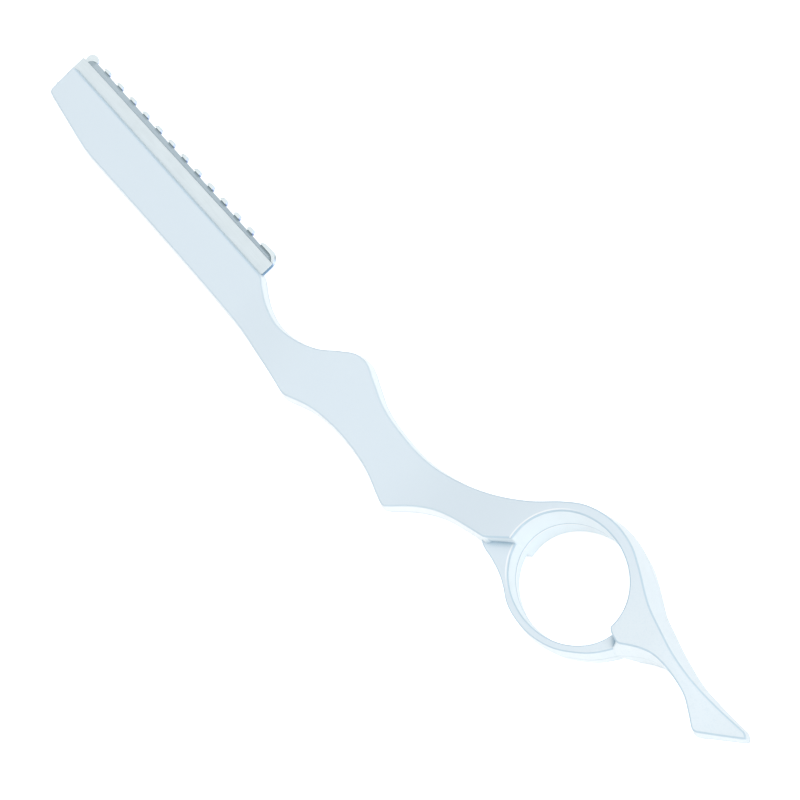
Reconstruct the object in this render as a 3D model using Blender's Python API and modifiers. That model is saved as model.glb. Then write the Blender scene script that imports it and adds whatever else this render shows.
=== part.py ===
# Hair thinning razor: a handle moulded in two shells with a finger ring, and a steel comb guard with its
# blade that slides out of the head.
#
# Plan: X runs along the razor from the head's tip to the tail, Y points to the cutting edge, Z is the
# thickness. In the plan every place is measured from the centre of the finger hole, and the tips of the
# comb's teeth lie on the line through that centre. The model's own origin is under the middle of it.

import math

import bmesh
import bpy
from mathutils import Vector

MM = 0.001

# Clearances and moulding
CLEARANCE = 0.3 * MM            # between pieces that touch or slide
LAYER_GAP = 0.25 * MM           # between the thin sheets of the blade holder
DRAFT = 0.4 * MM                # how far the shells' walls lean out towards the parting plane
RIM_RADIUS = 0.35 * MM          # rounding round the shells' faces
SHARP = 0.52 * MM               # how far a sharp corner of an outline is cut back to be rounded
CRISP = 0.65 * MM
SOFT = 1.0 * MM
FULL = 2.0 * MM
BLUNT = 3.0 * MM

# Finger ring
HOLE_RADIUS_X = 13.35 * MM
HOLE_RADIUS_Y = 11.25 * MM
BAND_TOP = 1.85 * MM            # width of the ring's full-depth band, seen from the front
BAND_BOW = 1.35 * MM            # width of the shallow bow that closes the ring
BOW_HALF = 3.9 * MM             # half the bow's depth
BOW_DRAFT = 0.33 * MM
BOW_RIM = 0.25 * MM
BOW_SET_BACK = 0.04 * MM        # the bow's inner wall lies this much behind the ring's

# Half thickness of the handle along its length
RING_HALF = 7.8 * MM
HUMP_HALF = 3.2 * MM
WAIST_HALF = 2.1 * MM
TAIL_HALF = 1.9 * MM

# Blade and guard
BLADE_LENGTH = 61.2 * MM
BLADE_WIDTH = 5.6 * MM
BLADE_THICKNESS = 0.2 * MM
BLADE_BEVEL = 0.7 * MM          # width of the ground edge
BLADE_CORNER = 1.8 * MM         # rounding of the corners of the blade's edge
BLADE_TIP_GAP = 1.05 * MM       # from the guard's end at the head's tip to the blade
EDGE_SHOW = 0.85 * MM           # how far the blade stands out past the cover plate
TOOTH_REACH = 0.8 * MM          # how far the teeth stand out past the blade's edge
TOOTH_PROUD = 0.35 * MM         # how far the teeth's tips stand up above the blade's face
TOOTH_PITCH = 4.4 * MM
TOOTH_WIDTH = 1.7 * MM
GUARD_SHEET = 0.4 * MM
TIP_LUG = 2.6 * MM              # diameter of the lug at the head's tip
NECK_LUG = 5.2 * MM             # length of the lug at the neck
NECK_LUG_CORNER = 2.2 * MM
LUG_PROUD = 0.15 * MM           # how far the tip lug stands out past the guard's end
COVER_SHEET = 0.3 * MM
COVER_SHOW = 3.1 * MM           # width of the cover plate that stays in sight
COVER_CORNER = 0.35 * MM        # rounding of the cover plate's free corners
FLANGE_WIDTH = 2.3 * MM         # the riveted edge of the cover plate
SPINE_LIP = 0.55 * MM           # how far the guard's lip stands above the cover plate
RIVET_RADIUS = 0.4 * MM
RIVET_HEAD_RADIUS = 0.8 * MM
RIVET_HEAD = 0.25 * MM
RIVET_COUNT = 3
RIVET_MARGIN = 8.0 * MM         # from the guard's ends to the outer rivets

# Head
CHANNEL_WALL = 0.65 * MM        # thinnest wall of a shell over the guard's channel
SPINE_WALL = 4.3 * MM           # the head's solid back, behind the channel
TIP_PROUD = 0.8 * MM            # how far the guard stands out of the head's tip
TIP_BEND = 16.2 * MM            # from the tip to the bend where the head's back starts to run in
TIP_RISE = 2.6 * MM             # how far the head's back has run in at the tip
TIP_SLANT = 0.25 * MM           # how far the tip's end is set back at the head's back
NECK_MARGIN = 1.2 * MM          # from the guard's end to the neck

# Retaining spring
SPRING_LENGTH = 18.0 * MM
SPRING_STRIP = 0.25 * MM
SPRING_HEIGHT = 1.8 * MM
SPRING_RISE = 1.9 * MM
SPRING_FROM_NECK = 30.7 * MM    # from the neck to the middle of the spring

# Locating pins
PIN_RADIUS = 0.9 * MM
PIN_LENGTH = 1.1 * MM
PIN_ROOT = 0.4 * MM             # how deep a pin is rooted in the back shell

# Grip
GRIP_LENGTH = 77.95 * MM        # from the finger hole to the neck
TAIL_LENGTH = 31.25 * MM        # from the finger hole to the tail's tip

# Heights and places that follow from the sizes above
TEETH_Y = 0.0
EDGE_Y = TEETH_Y - TOOTH_REACH
COVER_EDGE_Y = EDGE_Y - EDGE_SHOW
SHELL_EDGE_Y = COVER_EDGE_Y - COVER_SHOW
BLADE_BACK_Y = EDGE_Y - BLADE_WIDTH
FLANGE_TOP_Y = BLADE_BACK_Y - LAYER_GAP
RIVET_Y = FLANGE_TOP_Y - FLANGE_WIDTH / 2
FLANGE_END_Y = FLANGE_TOP_Y - FLANGE_WIDTH
LIP_Y = FLANGE_END_Y - LAYER_GAP
SPINE_Y = LIP_Y - GUARD_SHEET
CHANNEL_Y = SPINE_Y - CLEARANCE
HEAD_BACK_Y = CHANNEL_Y - SPINE_WALL

BLADE_LOW = -BLADE_THICKNESS / 2
BLADE_HIGH = BLADE_THICKNESS / 2
GUARD_HIGH = BLADE_LOW - LAYER_GAP
GUARD_LOW = GUARD_HIGH - GUARD_SHEET
TOOTH_HIGH = BLADE_HIGH + TOOTH_PROUD
COVER_LOW = BLADE_HIGH + LAYER_GAP
COVER_HIGH = COVER_LOW + COVER_SHEET
FLANGE_LOW = GUARD_HIGH + LAYER_GAP
FLANGE_HIGH = FLANGE_LOW + COVER_SHEET
LIP_HIGH = COVER_HIGH + SPINE_LIP
RIVET_HIGH = FLANGE_HIGH + LAYER_GAP + RIVET_HEAD
RIVET_LOW = GUARD_LOW - LAYER_GAP - RIVET_HEAD
CHANNEL_LOW = GUARD_LOW - LAYER_GAP
CHANNEL_HIGH = max(COVER_HIGH, RIVET_HIGH) + LAYER_GAP
UNDERCUT_HIGH = LIP_HIGH + LAYER_GAP
HEAD_HALF = UNDERCUT_HIGH + CHANNEL_WALL

GUARD_LENGTH = GUARD_SHEET + LAYER_GAP + BLADE_LENGTH + BLADE_TIP_GAP
TOOTH_ROW = GUARD_LENGTH - NECK_LUG - TIP_LUG + LUG_PROUD - TOOTH_WIDTH
TOOTH_COUNT = int(TOOTH_ROW / TOOTH_PITCH)

NECK_X = -HOLE_RADIUS_X - GRIP_LENGTH
GUARD_END_X = NECK_X - NECK_MARGIN
GUARD_TIP_X = GUARD_END_X - GUARD_LENGTH
STOP_X = GUARD_END_X - GUARD_SHEET
CHANNEL_END_X = GUARD_END_X + CLEARANCE
TIP_X = GUARD_TIP_X + TIP_PROUD
BLADE_END_X = STOP_X - LAYER_GAP
SPRING_X = NECK_X - SPRING_FROM_NECK
TAIL_TIP_X = HOLE_RADIUS_X + TAIL_LENGTH

# Where the ring steps down to the bow
NECK_STEP_ANGLE = 194.0         # round the finger hole
TAIL_STEP_ANGLE = -1.5
BOW_OVERLAP_ANGLE = 8.0         # how far the bow runs on into the thick part of the ring
STEP_FOOT = 2.8 * MM            # how far the tail step's foot runs out under its face, along X and Y
STEP_FOOT_REACH = 3.0 * MM      # how far round the step's corner its foot is drawn out

# The tail's upper side, which swells out towards the parting plane
SIDE_SWELL = 0.75 * MM
SWELL_RISE = 5.0 * MM
SWELL_FALL = 16.0 * MM

FACE_STEPS = 9                  # flats in each slope of the faces
SPAN_STEPS = 4                  # points between two through points of an outline
RING_STEP = 9.0                 # degrees between two points on the ring
CORNER_STEPS = 3
LEAST_STEP = 0.05 * MM          # closer points of an outline are one
STATION_SNAP = 0.08 * MM        # a point this near to a bend of the faces is moved onto it
ROUND_STEP = 25.0               # degrees between two points on the guard's small rounds
RIM_TURNS = (30, 60, 90)        # degrees round the rim where it has a level


# Places in the plan

def from_neck(x, y):
    """A place on the grip, measured in mm from the neck towards the ring."""
    return (NECK_X + x * MM, y * MM)


def from_hole(x, y):
    """A place on the grip, measured in mm from the neck side of the finger hole."""
    return (-HOLE_RADIUS_X + x * MM, y * MM)


def from_tail_side(x, y):
    """A place on the tail, measured in mm from the tail side of the finger hole."""
    return (HOLE_RADIUS_X + x * MM, y * MM)


def ring_point(angle, radius_x=HOLE_RADIUS_X, radius_y=HOLE_RADIUS_Y):
    turn = math.radians(angle)
    return (radius_x * math.cos(turn), radius_y * math.sin(turn))


CUSP_BY_HEAD = from_neck(22.2, -17.1)
CUSP_BY_RING = from_hole(-24.55, -17.2)
NECK_STEP_OUTER = from_hole(-4.05, -6.6)
TAIL_STEP_MIDDLE = from_tail_side(1.15, -0.95)
TAIL_STEP_OUTER = from_tail_side(3.25, -1.4)
TAIL_CORNER = (TAIL_TIP_X, 4.5 * MM)
TAIL_HEEL = (TAIL_TIP_X - 7.2 * MM, -2.0 * MM)

HUMP_X = from_neck(19.3, 0)[0]
WAIST_X = from_hole(-28.65, 0)[0]
LAND_START_X = from_hole(9.35, 0)[0]
LAND_END_X = from_tail_side(6.65, 0)[0]

PIN_PLACES = [(TIP_X + 6.5 * MM, HEAD_BACK_Y + 2.8 * MM), (NECK_X - 6.0 * MM, HEAD_BACK_Y + 2.2 * MM),
              from_neck(16.0, -12.2), from_neck(39.0, -9.2), from_hole(-22.5, -8.6), from_tail_side(20.0, 2.5)]


# Collections, materials and objects

def clear_scene():
    for item in list(bpy.data.objects):
        bpy.data.objects.remove(item, do_unlink=True)


def new_collection(name):
    group = bpy.data.collections.new(name)
    bpy.context.scene.collection.children.link(group)
    return group


def new_material(name, colour, roughness, metallic):
    material = bpy.data.materials.new(name)
    material.use_nodes = True
    shader = material.node_tree.nodes["Principled BSDF"]
    shader.inputs["Base Color"].default_value = (*colour, 1.0)
    shader.inputs["Roughness"].default_value = roughness
    shader.inputs["Metallic"].default_value = metallic
    material.diffuse_color = (*colour, 1.0)
    return material


def add_mesh(name, bm, group, material=None):
    bmesh.ops.recalc_face_normals(bm, faces=bm.faces[:])
    mesh = bpy.data.meshes.new(name)
    bm.to_mesh(mesh)
    bm.free()
    item = bpy.data.objects.new(name, mesh)
    group.objects.link(item)
    if material:
        mesh.materials.append(material)
    return item


def add_boolean(item, cutter, operation):
    modifier = item.modifiers.new(operation.lower(), "BOOLEAN")
    modifier.operation = operation
    modifier.solver = "EXACT"
    modifier.object = cutter
    cutter.hide_render = True
    cutter.display_type = "WIRE"


# Outlines

def ring_arc(start, end, radius_x, radius_y):
    count = max(2, round(abs(end - start) / RING_STEP))
    return [ring_point(start + (end - start) * i / count, radius_x, radius_y) for i in range(count + 1)]


def round_arc(centre, radius, start, end):
    count = max(3, round(abs(end - start) / ROUND_STEP))
    turns = [math.radians(start + (end - start) * i / count) for i in range(count + 1)]
    return [(centre[0] + radius * math.cos(t), centre[1] + radius * math.sin(t)) for t in turns]


def smooth_run(points):
    """Points of a smooth curve through the given points, whose tangents follow their neighbours."""
    ends = [Vector(p) for p in points]
    ends = [ends[0] * 2 - ends[1]] + ends + [ends[-1] * 2 - ends[-2]]
    run = []
    for before, start, end, after in zip(ends, ends[1:], ends[2:], ends[3:]):
        span = (end - start).length
        leave = ((start - before).normalized() + (end - start) / span) * span / 2
        arrive = ((end - start) / span + (after - end).normalized()) * span / 2
        for i in range(SPAN_STEPS):
            t = i / SPAN_STEPS
            run.append(start * (2 * t**3 - 3 * t**2 + 1) + leave * (t**3 - 2 * t**2 + t)
                       + end * (3 * t**2 - 2 * t**3) + arrive * (t**3 - t**2))
    run.append(ends[-2])
    return [tuple(p) for p in run]


def cut_back(run, length):
    """The run without its last stretch of the given length."""
    points = [Vector(p) for p in run]
    while length > 0 and len(points) > 1:
        step = (points[-1] - points[-2]).length
        if step > length:
            points[-1] = points[-1].lerp(points[-2], length / step)
            break
        length -= step
        points.pop()
    return [tuple(p) for p in points]


def joined_runs(runs, cuts):
    """A closed outline of runs that meet at corners; cuts[i] rounds the corner after run i."""
    trimmed = []
    for i, run in enumerate(runs):
        run = cut_back(run, cuts[i])
        trimmed.append(cut_back(run[::-1], cuts[i - 1])[::-1])
    outline = []
    for i, run in enumerate(trimmed):
        outline += run
        start, corner = Vector(run[-1]), Vector(runs[i][-1])
        end = Vector(trimmed[(i + 1) % len(runs)][0])
        for k in range(1, CORNER_STEPS):
            t = k / CORNER_STEPS
            outline.append(tuple(start * (1 - t) ** 2 + corner * 2 * t * (1 - t) + end * t**2))
    return [here for here, after in zip(outline, outline[1:] + outline[:1])
            if (Vector(here) - Vector(after)).length > LEAST_STEP]


def outset(outline, distance):
    """The closed outline moved outwards, each point along the mean normal of its two edges."""
    points = [Vector(p) for p in outline]
    area = sum(a.x * b.y - b.x * a.y for a, b in zip(points, points[1:] + points[:1]))
    side = 1 if area > 0 else -1
    moved = []
    for before, here, after in zip(points[-1:] + points[:-1], points, points[1:] + points[:1]):
        one = (here - before).normalized()
        two = (after - here).normalized()
        mean = Vector((one.y + two.y, -one.x - two.x)).normalized()
        stretch = 1 / max(0.6, mean.dot(Vector((one.y, -one.x))))
        moved.append(tuple(here + mean * side * distance * stretch))
    return moved


# Solids

def slope(x, x0, x1, low, high):
    """A soft ramp from low at x0 to high at x1."""
    t = min(1, max(0, (x - x0) / (x1 - x0)))
    return low + (high - low) * (1 - math.cos(math.pi * t)) / 2


def half_thickness(x):
    if x < HUMP_X:
        return slope(x, NECK_X, HUMP_X, HEAD_HALF, HUMP_HALF)
    if x < WAIST_X:
        return slope(x, HUMP_X, WAIST_X, HUMP_HALF, WAIST_HALF)
    if x < LAND_START_X:
        return slope(x, WAIST_X, LAND_START_X, WAIST_HALF, RING_HALF)
    return slope(x, LAND_END_X, TAIL_TIP_X, RING_HALF, TAIL_HALF)


def face_stations():
    """Places along X where the sloping faces bend."""
    ramps = [(NECK_X, HUMP_X), (HUMP_X, WAIST_X), (WAIST_X, LAND_START_X), (LAND_END_X, TAIL_TIP_X)]
    return [x0 + (x1 - x0) * i / FACE_STEPS for x0, x1 in ramps for i in range(FACE_STEPS)]


def boundary_loop(bm):
    """The sheet's outer verts in order."""
    edge = next(e for e in bm.edges if e.is_boundary)
    loop = [edge.verts[0]]
    vert = edge.verts[1]
    while vert is not loop[0]:
        loop.append(vert)
        edge = next(e for e in vert.link_edges if e.is_boundary and e is not edge)
        vert = edge.other_vert(vert)
    return loop


def no_lean(place):
    return Vector((0, 0, 0))


def handle_lean(place):
    """How far the walls run out at the parting plane, beyond their draft: the foot of the ring's tail step
    meets the bow's edge, and the tail's upper side swells."""
    x, y = place[:2]
    share = max(0, 1 - (Vector((x, y)) - Vector(TAIL_STEP_OUTER)).length / STEP_FOOT_REACH)
    lean = Vector((-STEP_FOOT, -STEP_FOOT, 0)) * share**2
    from_hole_side = math.hypot(x / HOLE_RADIUS_X, y / HOLE_RADIUS_Y)
    if from_hole_side > 1 + DRAFT / HOLE_RADIUS_Y and y > TAIL_CORNER[1] - DRAFT - SIDE_SWELL:
        swell = slope(x, HOLE_RADIUS_X - SWELL_RISE, HOLE_RADIUS_X, 0, 1)
        swell *= slope(x, TAIL_TIP_X - SWELL_FALL, TAIL_TIP_X, 1, 0)
        lean += Vector((0, SIDE_SWELL, 0)) * swell
    return lean


def moulded_half(outline, height, draft, rim, stations=(), side=1, lean=no_lean):
    """Half of a moulding, on one side of the parting plane: the outline lifted to its face, with leaning
    walls and a rounded rim. Each level is an offset of the same outline."""
    bm = bmesh.new()
    plan = bm.verts.layers.float_vector.new("plan")
    outward = bm.verts.layers.float_vector.new("outward")
    bm.faces.new([bm.verts.new((x, y, 0)) for x, y in outline])
    for x in stations:
        bmesh.ops.bisect_plane(bm, geom=bm.verts[:] + bm.edges[:] + bm.faces[:], dist=STATION_SNAP,
                               plane_co=(x, 0, 0), plane_no=(1, 0, 0))
    loop = boundary_loop(bm)
    for vert, (x, y) in zip(loop, outset([v.co.xy for v in loop], 1.0)):
        vert[plan] = vert.co
        vert[outward] = (x - vert.co.x, y - vert.co.y, 0)

    def place(verts, out, drop=None):
        for vert in verts:
            vert.co = vert[plan] + vert[outward] * out
            vert.co.z = side * (CLEARANCE / 2 if drop is None else height(vert.co.x) - drop)

    place(bm.verts[:], draft)
    for vert in loop:
        vert.co += lean(vert[plan])
    levels = [(0.0, rim)]
    for turn in RIM_TURNS:
        angle = math.radians(turn)
        levels.append((rim * (math.cos(angle) - 1), rim * (1 - math.sin(angle))))
    base = bm.faces[:]
    sheet = base
    for out, drop in levels:
        grown = bmesh.ops.extrude_face_region(bm, geom=sheet)["geom"]
        if sheet is not base:
            bmesh.ops.delete(bm, geom=[face for face in sheet if face.is_valid], context="FACES")
        sheet = [g for g in grown if isinstance(g, bmesh.types.BMFace)]
        place([g for g in grown if isinstance(g, bmesh.types.BMVert)], out, drop)
    bmesh.ops.triangulate(bm, faces=bm.faces[:])
    return bm


def add_block(bm, low, high):
    made = bmesh.ops.create_cube(bm, size=1.0)["verts"]
    for vert in made:
        vert.co = [(a + b) / 2 + c * (b - a) for a, b, c in zip(low, high, vert.co)]


def block(name, low, high, group):
    bm = bmesh.new()
    add_block(bm, low, high)
    return add_mesh(name, bm, group)


def rods(name, centres, radius, low, high, group, sides=16):
    """Upright cylinders of one size in one mesh."""
    bm = bmesh.new()
    for x, y in centres:
        made = bmesh.ops.create_cone(bm, cap_ends=True, segments=sides, radius1=radius, radius2=radius,
                                     depth=high - low)["verts"]
        bmesh.ops.translate(bm, verts=made, vec=(x, y, (low + high) / 2))
    return add_mesh(name, bm, group)


def prism(name, outline, low, high, group, material=None):
    """A flat outline as a filled 2D curve with an extrude, made into a welded mesh."""
    curve = bpy.data.curves.new(name, "CURVE")
    curve.dimensions = "2D"
    curve.fill_mode = "BOTH"
    curve.extrude = (high - low) / 2
    spline = curve.splines.new("POLY")
    spline.points.add(len(outline) - 1)
    for point, (x, y) in zip(spline.points, outline):
        point.co = (x, y, 0, 1)
    spline.use_cyclic_u = True
    drawn = bpy.data.objects.new(name + "_curve", curve)
    group.objects.link(drawn)
    drawn.location.z = (low + high) / 2
    bpy.context.view_layer.update()
    made = bpy.data.meshes.new_from_object(drawn.evaluated_get(bpy.context.evaluated_depsgraph_get()))
    bm = bmesh.new()
    bm.from_mesh(made)
    bmesh.ops.remove_doubles(bm, verts=bm.verts[:], dist=0.001 * MM)
    bmesh.ops.transform(bm, matrix=drawn.matrix_world, verts=bm.verts[:])
    bpy.data.objects.remove(drawn)
    bpy.data.meshes.remove(made)
    return add_mesh(name, bm, group, material)


def strip(name, profile, run, thickness, group, material):
    """An open profile swept along a straight run and given its thickness by Solidify."""
    bm = bmesh.new()
    verts = [bm.verts.new(p) for p in profile]
    edges = [bm.edges.new(pair) for pair in zip(verts, verts[1:])]
    grown = bmesh.ops.extrude_edge_only(bm, edges=edges)["geom"]
    bmesh.ops.translate(bm, vec=run, verts=[g for g in grown if isinstance(g, bmesh.types.BMVert)])
    item = add_mesh(name, bm, group, material)
    sheet = item.modifiers.new("sheet", "SOLIDIFY")
    sheet.thickness = thickness
    sheet.offset = 0
    sheet.use_even_offset = True
    return item


# Handle

def handle_outline():
    """The face of the handle without the bow: a hook that opens where the bow closes the ring."""
    tip_top = (TIP_X, SHELL_EDGE_Y)
    tip_back = (TIP_X + TIP_SLANT, HEAD_BACK_Y + TIP_RISE)
    neck = (NECK_X, SHELL_EDGE_Y)
    bend = (TIP_X + TIP_BEND, HEAD_BACK_Y)
    neck_step = ring_point(NECK_STEP_ANGLE)
    tail_step = ring_point(TAIL_STEP_ANGLE)
    upper = [from_neck(1.5, -6.0), from_neck(5.3, -7.9), from_neck(10.3, -9.0), from_neck(15.3, -8.3),
             from_neck(20.3, -6.2), from_neck(23.9, -3.3), from_neck(26.7, -1.35), from_neck(29.5, -1.0),
             from_neck(33.1, -2.3), from_neck(38.8, -4.35), from_hole(-32.65, -5.2),
             from_hole(-24.65, -4.8), from_hole(-16.65, -3.05), from_hole(-9.15, -0.35), from_hole(-2.75, 4.3)]
    ring_top = [ring_point(angle, HOLE_RADIUS_X + BAND_TOP, HOLE_RADIUS_Y + BAND_TOP)
                for angle in (138, 122, 106, 90, 72, 58, 48)]
    tail_upper = [from_tail_side(2.35, 7.7), from_tail_side(6.95, 6.2), from_tail_side(12.15, 4.85),
                  from_tail_side(17.65, 4.15), from_tail_side(24.0, 4.15)]
    tail_lower = [from_tail_side(20.95, 0.2), from_tail_side(18.55, 1.6), from_tail_side(15.15, 2.35),
                  from_tail_side(11.65, 2.5), from_tail_side(8.95, 1.95), from_tail_side(6.15, 0.6)]
    grip_lower = [from_hole(-7.65, -7.25), from_hole(-12.45, -8.8), from_hole(-16.15, -10.3),
                  from_hole(-19.65, -12.6)]
    groove = [from_hole(-27.65, -16.3), from_hole(-31.15, -15.15), from_hole(-34.65, -14.4),
              from_neck(36.3, -13.9), from_neck(28.7, -15.05)]
    head_lower = [from_neck(16.9, -15.9), from_neck(11.3, -15.1), from_neck(5.3, -14.7),
                  from_neck(-3.7, -14.4), from_neck(-18.7, -14.2)]
    runs = [
        [tip_back, tip_top],
        [tip_top, neck],
        smooth_run([neck] + upper + ring_top + tail_upper + [TAIL_CORNER]),
        [TAIL_CORNER, TAIL_HEEL],
        smooth_run([TAIL_HEEL] + tail_lower + [TAIL_STEP_OUTER]),
        [TAIL_STEP_OUTER, TAIL_STEP_MIDDLE],
        [TAIL_STEP_MIDDLE, tail_step],
        ring_arc(TAIL_STEP_ANGLE, NECK_STEP_ANGLE, HOLE_RADIUS_X, HOLE_RADIUS_Y),
        [neck_step, NECK_STEP_OUTER],
        smooth_run([NECK_STEP_OUTER] + grip_lower + [CUSP_BY_RING]),
        smooth_run([CUSP_BY_RING] + groove + [CUSP_BY_HEAD]),
        smooth_run([CUSP_BY_HEAD] + head_lower + [bend]),
        [bend, tip_back],
    ]
    return joined_runs(runs, [SHARP, CRISP, FULL, SOFT, CRISP, CRISP / 2, CRISP / 2, CRISP / 2, CRISP, SOFT,
                              SOFT, BLUNT, SOFT])


def bow_outline():
    """The shallow bow's face. Both its ends run on into the thick part of the ring."""
    inner_x = HOLE_RADIUS_X - DRAFT + BOW_DRAFT + BOW_SET_BACK
    inner_y = HOLE_RADIUS_Y - DRAFT + BOW_DRAFT + BOW_SET_BACK
    bottom = [ring_point(angle, HOLE_RADIUS_X + BAND_BOW, HOLE_RADIUS_Y + BAND_BOW)
              for angle in (228, 245, 262, 280, 300, 318)]
    outer = smooth_run([from_hole(-5.6, -5.4), from_hole(-3.5, -7.5), from_hole(-0.85, -7.96),
                        from_hole(1.15, -8.4)] + bottom
                       + [from_tail_side(-0.35, -6.5), from_tail_side(1.3, -4.2), from_tail_side(2.3, -2.3),
                          from_tail_side(2.6, 0.3)])
    inner = ring_arc(360 + TAIL_STEP_ANGLE + BOW_OVERLAP_ANGLE, NECK_STEP_ANGLE - BOW_OVERLAP_ANGLE,
                     inner_x, inner_y)
    runs = [outer, [outer[-1], inner[0]], inner, [inner[-1], outer[0]]]
    return joined_runs(runs, [CRISP] * len(runs))


def make_channel(group):
    """Cutters for the guard's channel, the undercut for its lip, the rivets' groove and the spring."""
    beyond = TIP_X - 2 * MM
    above = SHELL_EDGE_Y + 3 * MM
    spring_reach = SPRING_LENGTH / 2 + CLEARANCE
    pocket_y = CHANNEL_Y - SPRING_RISE - SPRING_STRIP - CLEARANCE
    pocket_z = SPRING_HEIGHT / 2 + CLEARANCE
    groove = RIVET_HEAD_RADIUS + CLEARANCE
    return [
        block("channel", (beyond, CHANNEL_Y, CHANNEL_LOW), (CHANNEL_END_X, above, CHANNEL_HIGH), group),
        block("lip_undercut", (beyond, CHANNEL_Y, 0), (CHANNEL_END_X, LIP_Y + LAYER_GAP, UNDERCUT_HIGH), group),
        block("rivet_groove", (beyond, RIVET_Y - groove, RIVET_LOW - LAYER_GAP),
              (CHANNEL_END_X, RIVET_Y + groove, 0), group),
        block("spring_pocket", (SPRING_X - spring_reach, pocket_y, -pocket_z),
              (SPRING_X + spring_reach, CHANNEL_Y + CLEARANCE, pocket_z), group),
    ]


def make_shell(name, side, group, cutters, channel, material):
    """One half of the handle. The front half is side 1 and has the sockets, the back half has the pins."""
    body = moulded_half(handle_outline(), half_thickness, DRAFT, RIM_RADIUS, face_stations(), side, handle_lean)
    shell = add_mesh(name, body, group, material)
    bow = add_mesh(name + "_bow", moulded_half(bow_outline(), lambda x: BOW_HALF, BOW_DRAFT, BOW_RIM, (), side),
                   cutters)
    add_boolean(shell, bow, "UNION")
    if side > 0:
        sockets = rods("sockets", PIN_PLACES, PIN_RADIUS + CLEARANCE, 0, PIN_LENGTH + CLEARANCE, cutters)
        add_boolean(shell, sockets, "DIFFERENCE")
    else:
        pins = rods("pins", PIN_PLACES, PIN_RADIUS, -CLEARANCE / 2 - PIN_ROOT, PIN_LENGTH, cutters)
        add_boolean(shell, pins, "UNION")
    for cutter in channel:
        add_boolean(shell, cutter, "DIFFERENCE")
    return shell


def make_spring(group, material):
    """A bowed strip whose crest faces the guard's spine and whose ends rest on the pocket's floor."""
    count = 12
    floor = CHANNEL_Y - SPRING_RISE - SPRING_STRIP / 2
    profile = []
    for i in range(count + 1):
        t = i / count
        rise = SPRING_RISE * (1 - math.cos(2 * math.pi * t)) / 2
        profile.append((SPRING_X + SPRING_LENGTH * (t - 0.5), floor + rise, -SPRING_HEIGHT / 2))
    return strip("detent_spring", profile, (0, 0, SPRING_HEIGHT), SPRING_STRIP, group, material)


# Blade holder

def guard_outline():
    """The guard's leaf: a straight back, a row of round-tipped teeth and a lug at each end."""
    leaf_y = EDGE_Y - LAYER_GAP
    lug_side = GUARD_END_X - NECK_LUG
    small = TOOTH_WIDTH / 2
    first_tooth = lug_side - TOOTH_PITCH + small
    outline = [(GUARD_TIP_X, SPINE_Y), (GUARD_END_X, SPINE_Y)]
    outline += round_arc((GUARD_END_X - NECK_LUG_CORNER, TEETH_Y - NECK_LUG_CORNER), NECK_LUG_CORNER, 0, 90)
    outline += round_arc((lug_side + small, TEETH_Y - small), small, 90, 180)
    outline.append((lug_side, leaf_y))
    for i in range(TOOTH_COUNT):
        x = first_tooth - i * TOOTH_PITCH
        outline.append((x + small, leaf_y))
        outline += round_arc((x, TEETH_Y - small), small, 0, 180)
        outline.append((x - small, leaf_y))
    lug = TIP_LUG / 2
    lug_x = GUARD_TIP_X - LUG_PROUD + lug
    outline.append((lug_x + lug, leaf_y))
    outline += round_arc((lug_x, TEETH_Y - lug), lug, 10, 180)
    outline.append((GUARD_TIP_X, TEETH_Y - TIP_LUG))
    return outline


def rivet_places():
    first = GUARD_TIP_X + RIVET_MARGIN
    span = GUARD_LENGTH - 2 * RIVET_MARGIN
    return [(first + span * i / (RIVET_COUNT - 1), RIVET_Y) for i in range(RIVET_COUNT)]


def seat_outline():
    """The blade's place on the leaf. Its corner beside the neck lug is round, as the blade's own is. It runs
    on over the tip lug, which lies flat under the blade's end."""
    beyond = GUARD_TIP_X - TIP_LUG
    lug_side = GUARD_TIP_X - LUG_PROUD + TIP_LUG + LAYER_GAP
    edge = EDGE_Y + LAYER_GAP
    corner = BLADE_CORNER + LAYER_GAP
    outline = [(beyond, SPINE_Y - MM), (STOP_X, SPINE_Y - MM)]
    outline += round_arc((STOP_X - corner, edge - corner), corner, 0, 90)
    outline += [(lug_side, edge), (lug_side, TEETH_Y + MM), (beyond, TEETH_Y + MM)]
    return outline


def make_guard(group, cutters, material):
    """The leaf with a lip folded up along its spine and a stop at the neck end. Its teeth and neck lug stand
    up in front of the blade's edge, because the blade's place is sunk between them and the spine."""
    guard = prism("comb_guard", guard_outline(), GUARD_LOW, TOOTH_HIGH, group, material)
    seat = prism("blade_seat", seat_outline(), GUARD_HIGH, TOOTH_HIGH + MM, cutters)
    root = GUARD_LOW + GUARD_SHEET / 4
    lip = block("spine_lip", (GUARD_TIP_X, SPINE_Y, root), (GUARD_END_X, LIP_Y, LIP_HIGH), cutters)
    add_boolean(guard, seat, "DIFFERENCE")
    add_boolean(guard, lip, "UNION")
    return guard


def round_corner(item, corner, radius, side, cutters):
    """Rounds a corner of a thin plate's edge. The plate lies on the low side of the corner in Y, and on
    its low side in X where side is 1."""
    reach = 1 * MM
    first, last = 10, 80
    centre = (corner[0] - side * radius, corner[1] - radius)
    turns = [math.radians(first + (last - first) * i / CORNER_STEPS) for i in range(CORNER_STEPS + 1)]
    outline = [(radius * math.cos(t), radius * math.sin(t)) for t in turns]
    outline.insert(0, (outline[0][0] + reach * math.sin(turns[0]), outline[0][1] - reach * math.cos(turns[0])))
    outline.append((outline[-1][0] - reach * math.sin(turns[-1]), outline[-1][1] + reach * math.cos(turns[-1])))
    outline.append((radius + 2 * reach, radius + 2 * reach))
    placed = [(centre[0] + side * x, centre[1] + y) for x, y in outline]
    end = "neck" if side > 0 else "tip"
    add_boolean(item, prism(f"{item.name}_{end}_corner", placed, -2 * MM, 2 * MM, cutters), "DIFFERENCE")


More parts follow.
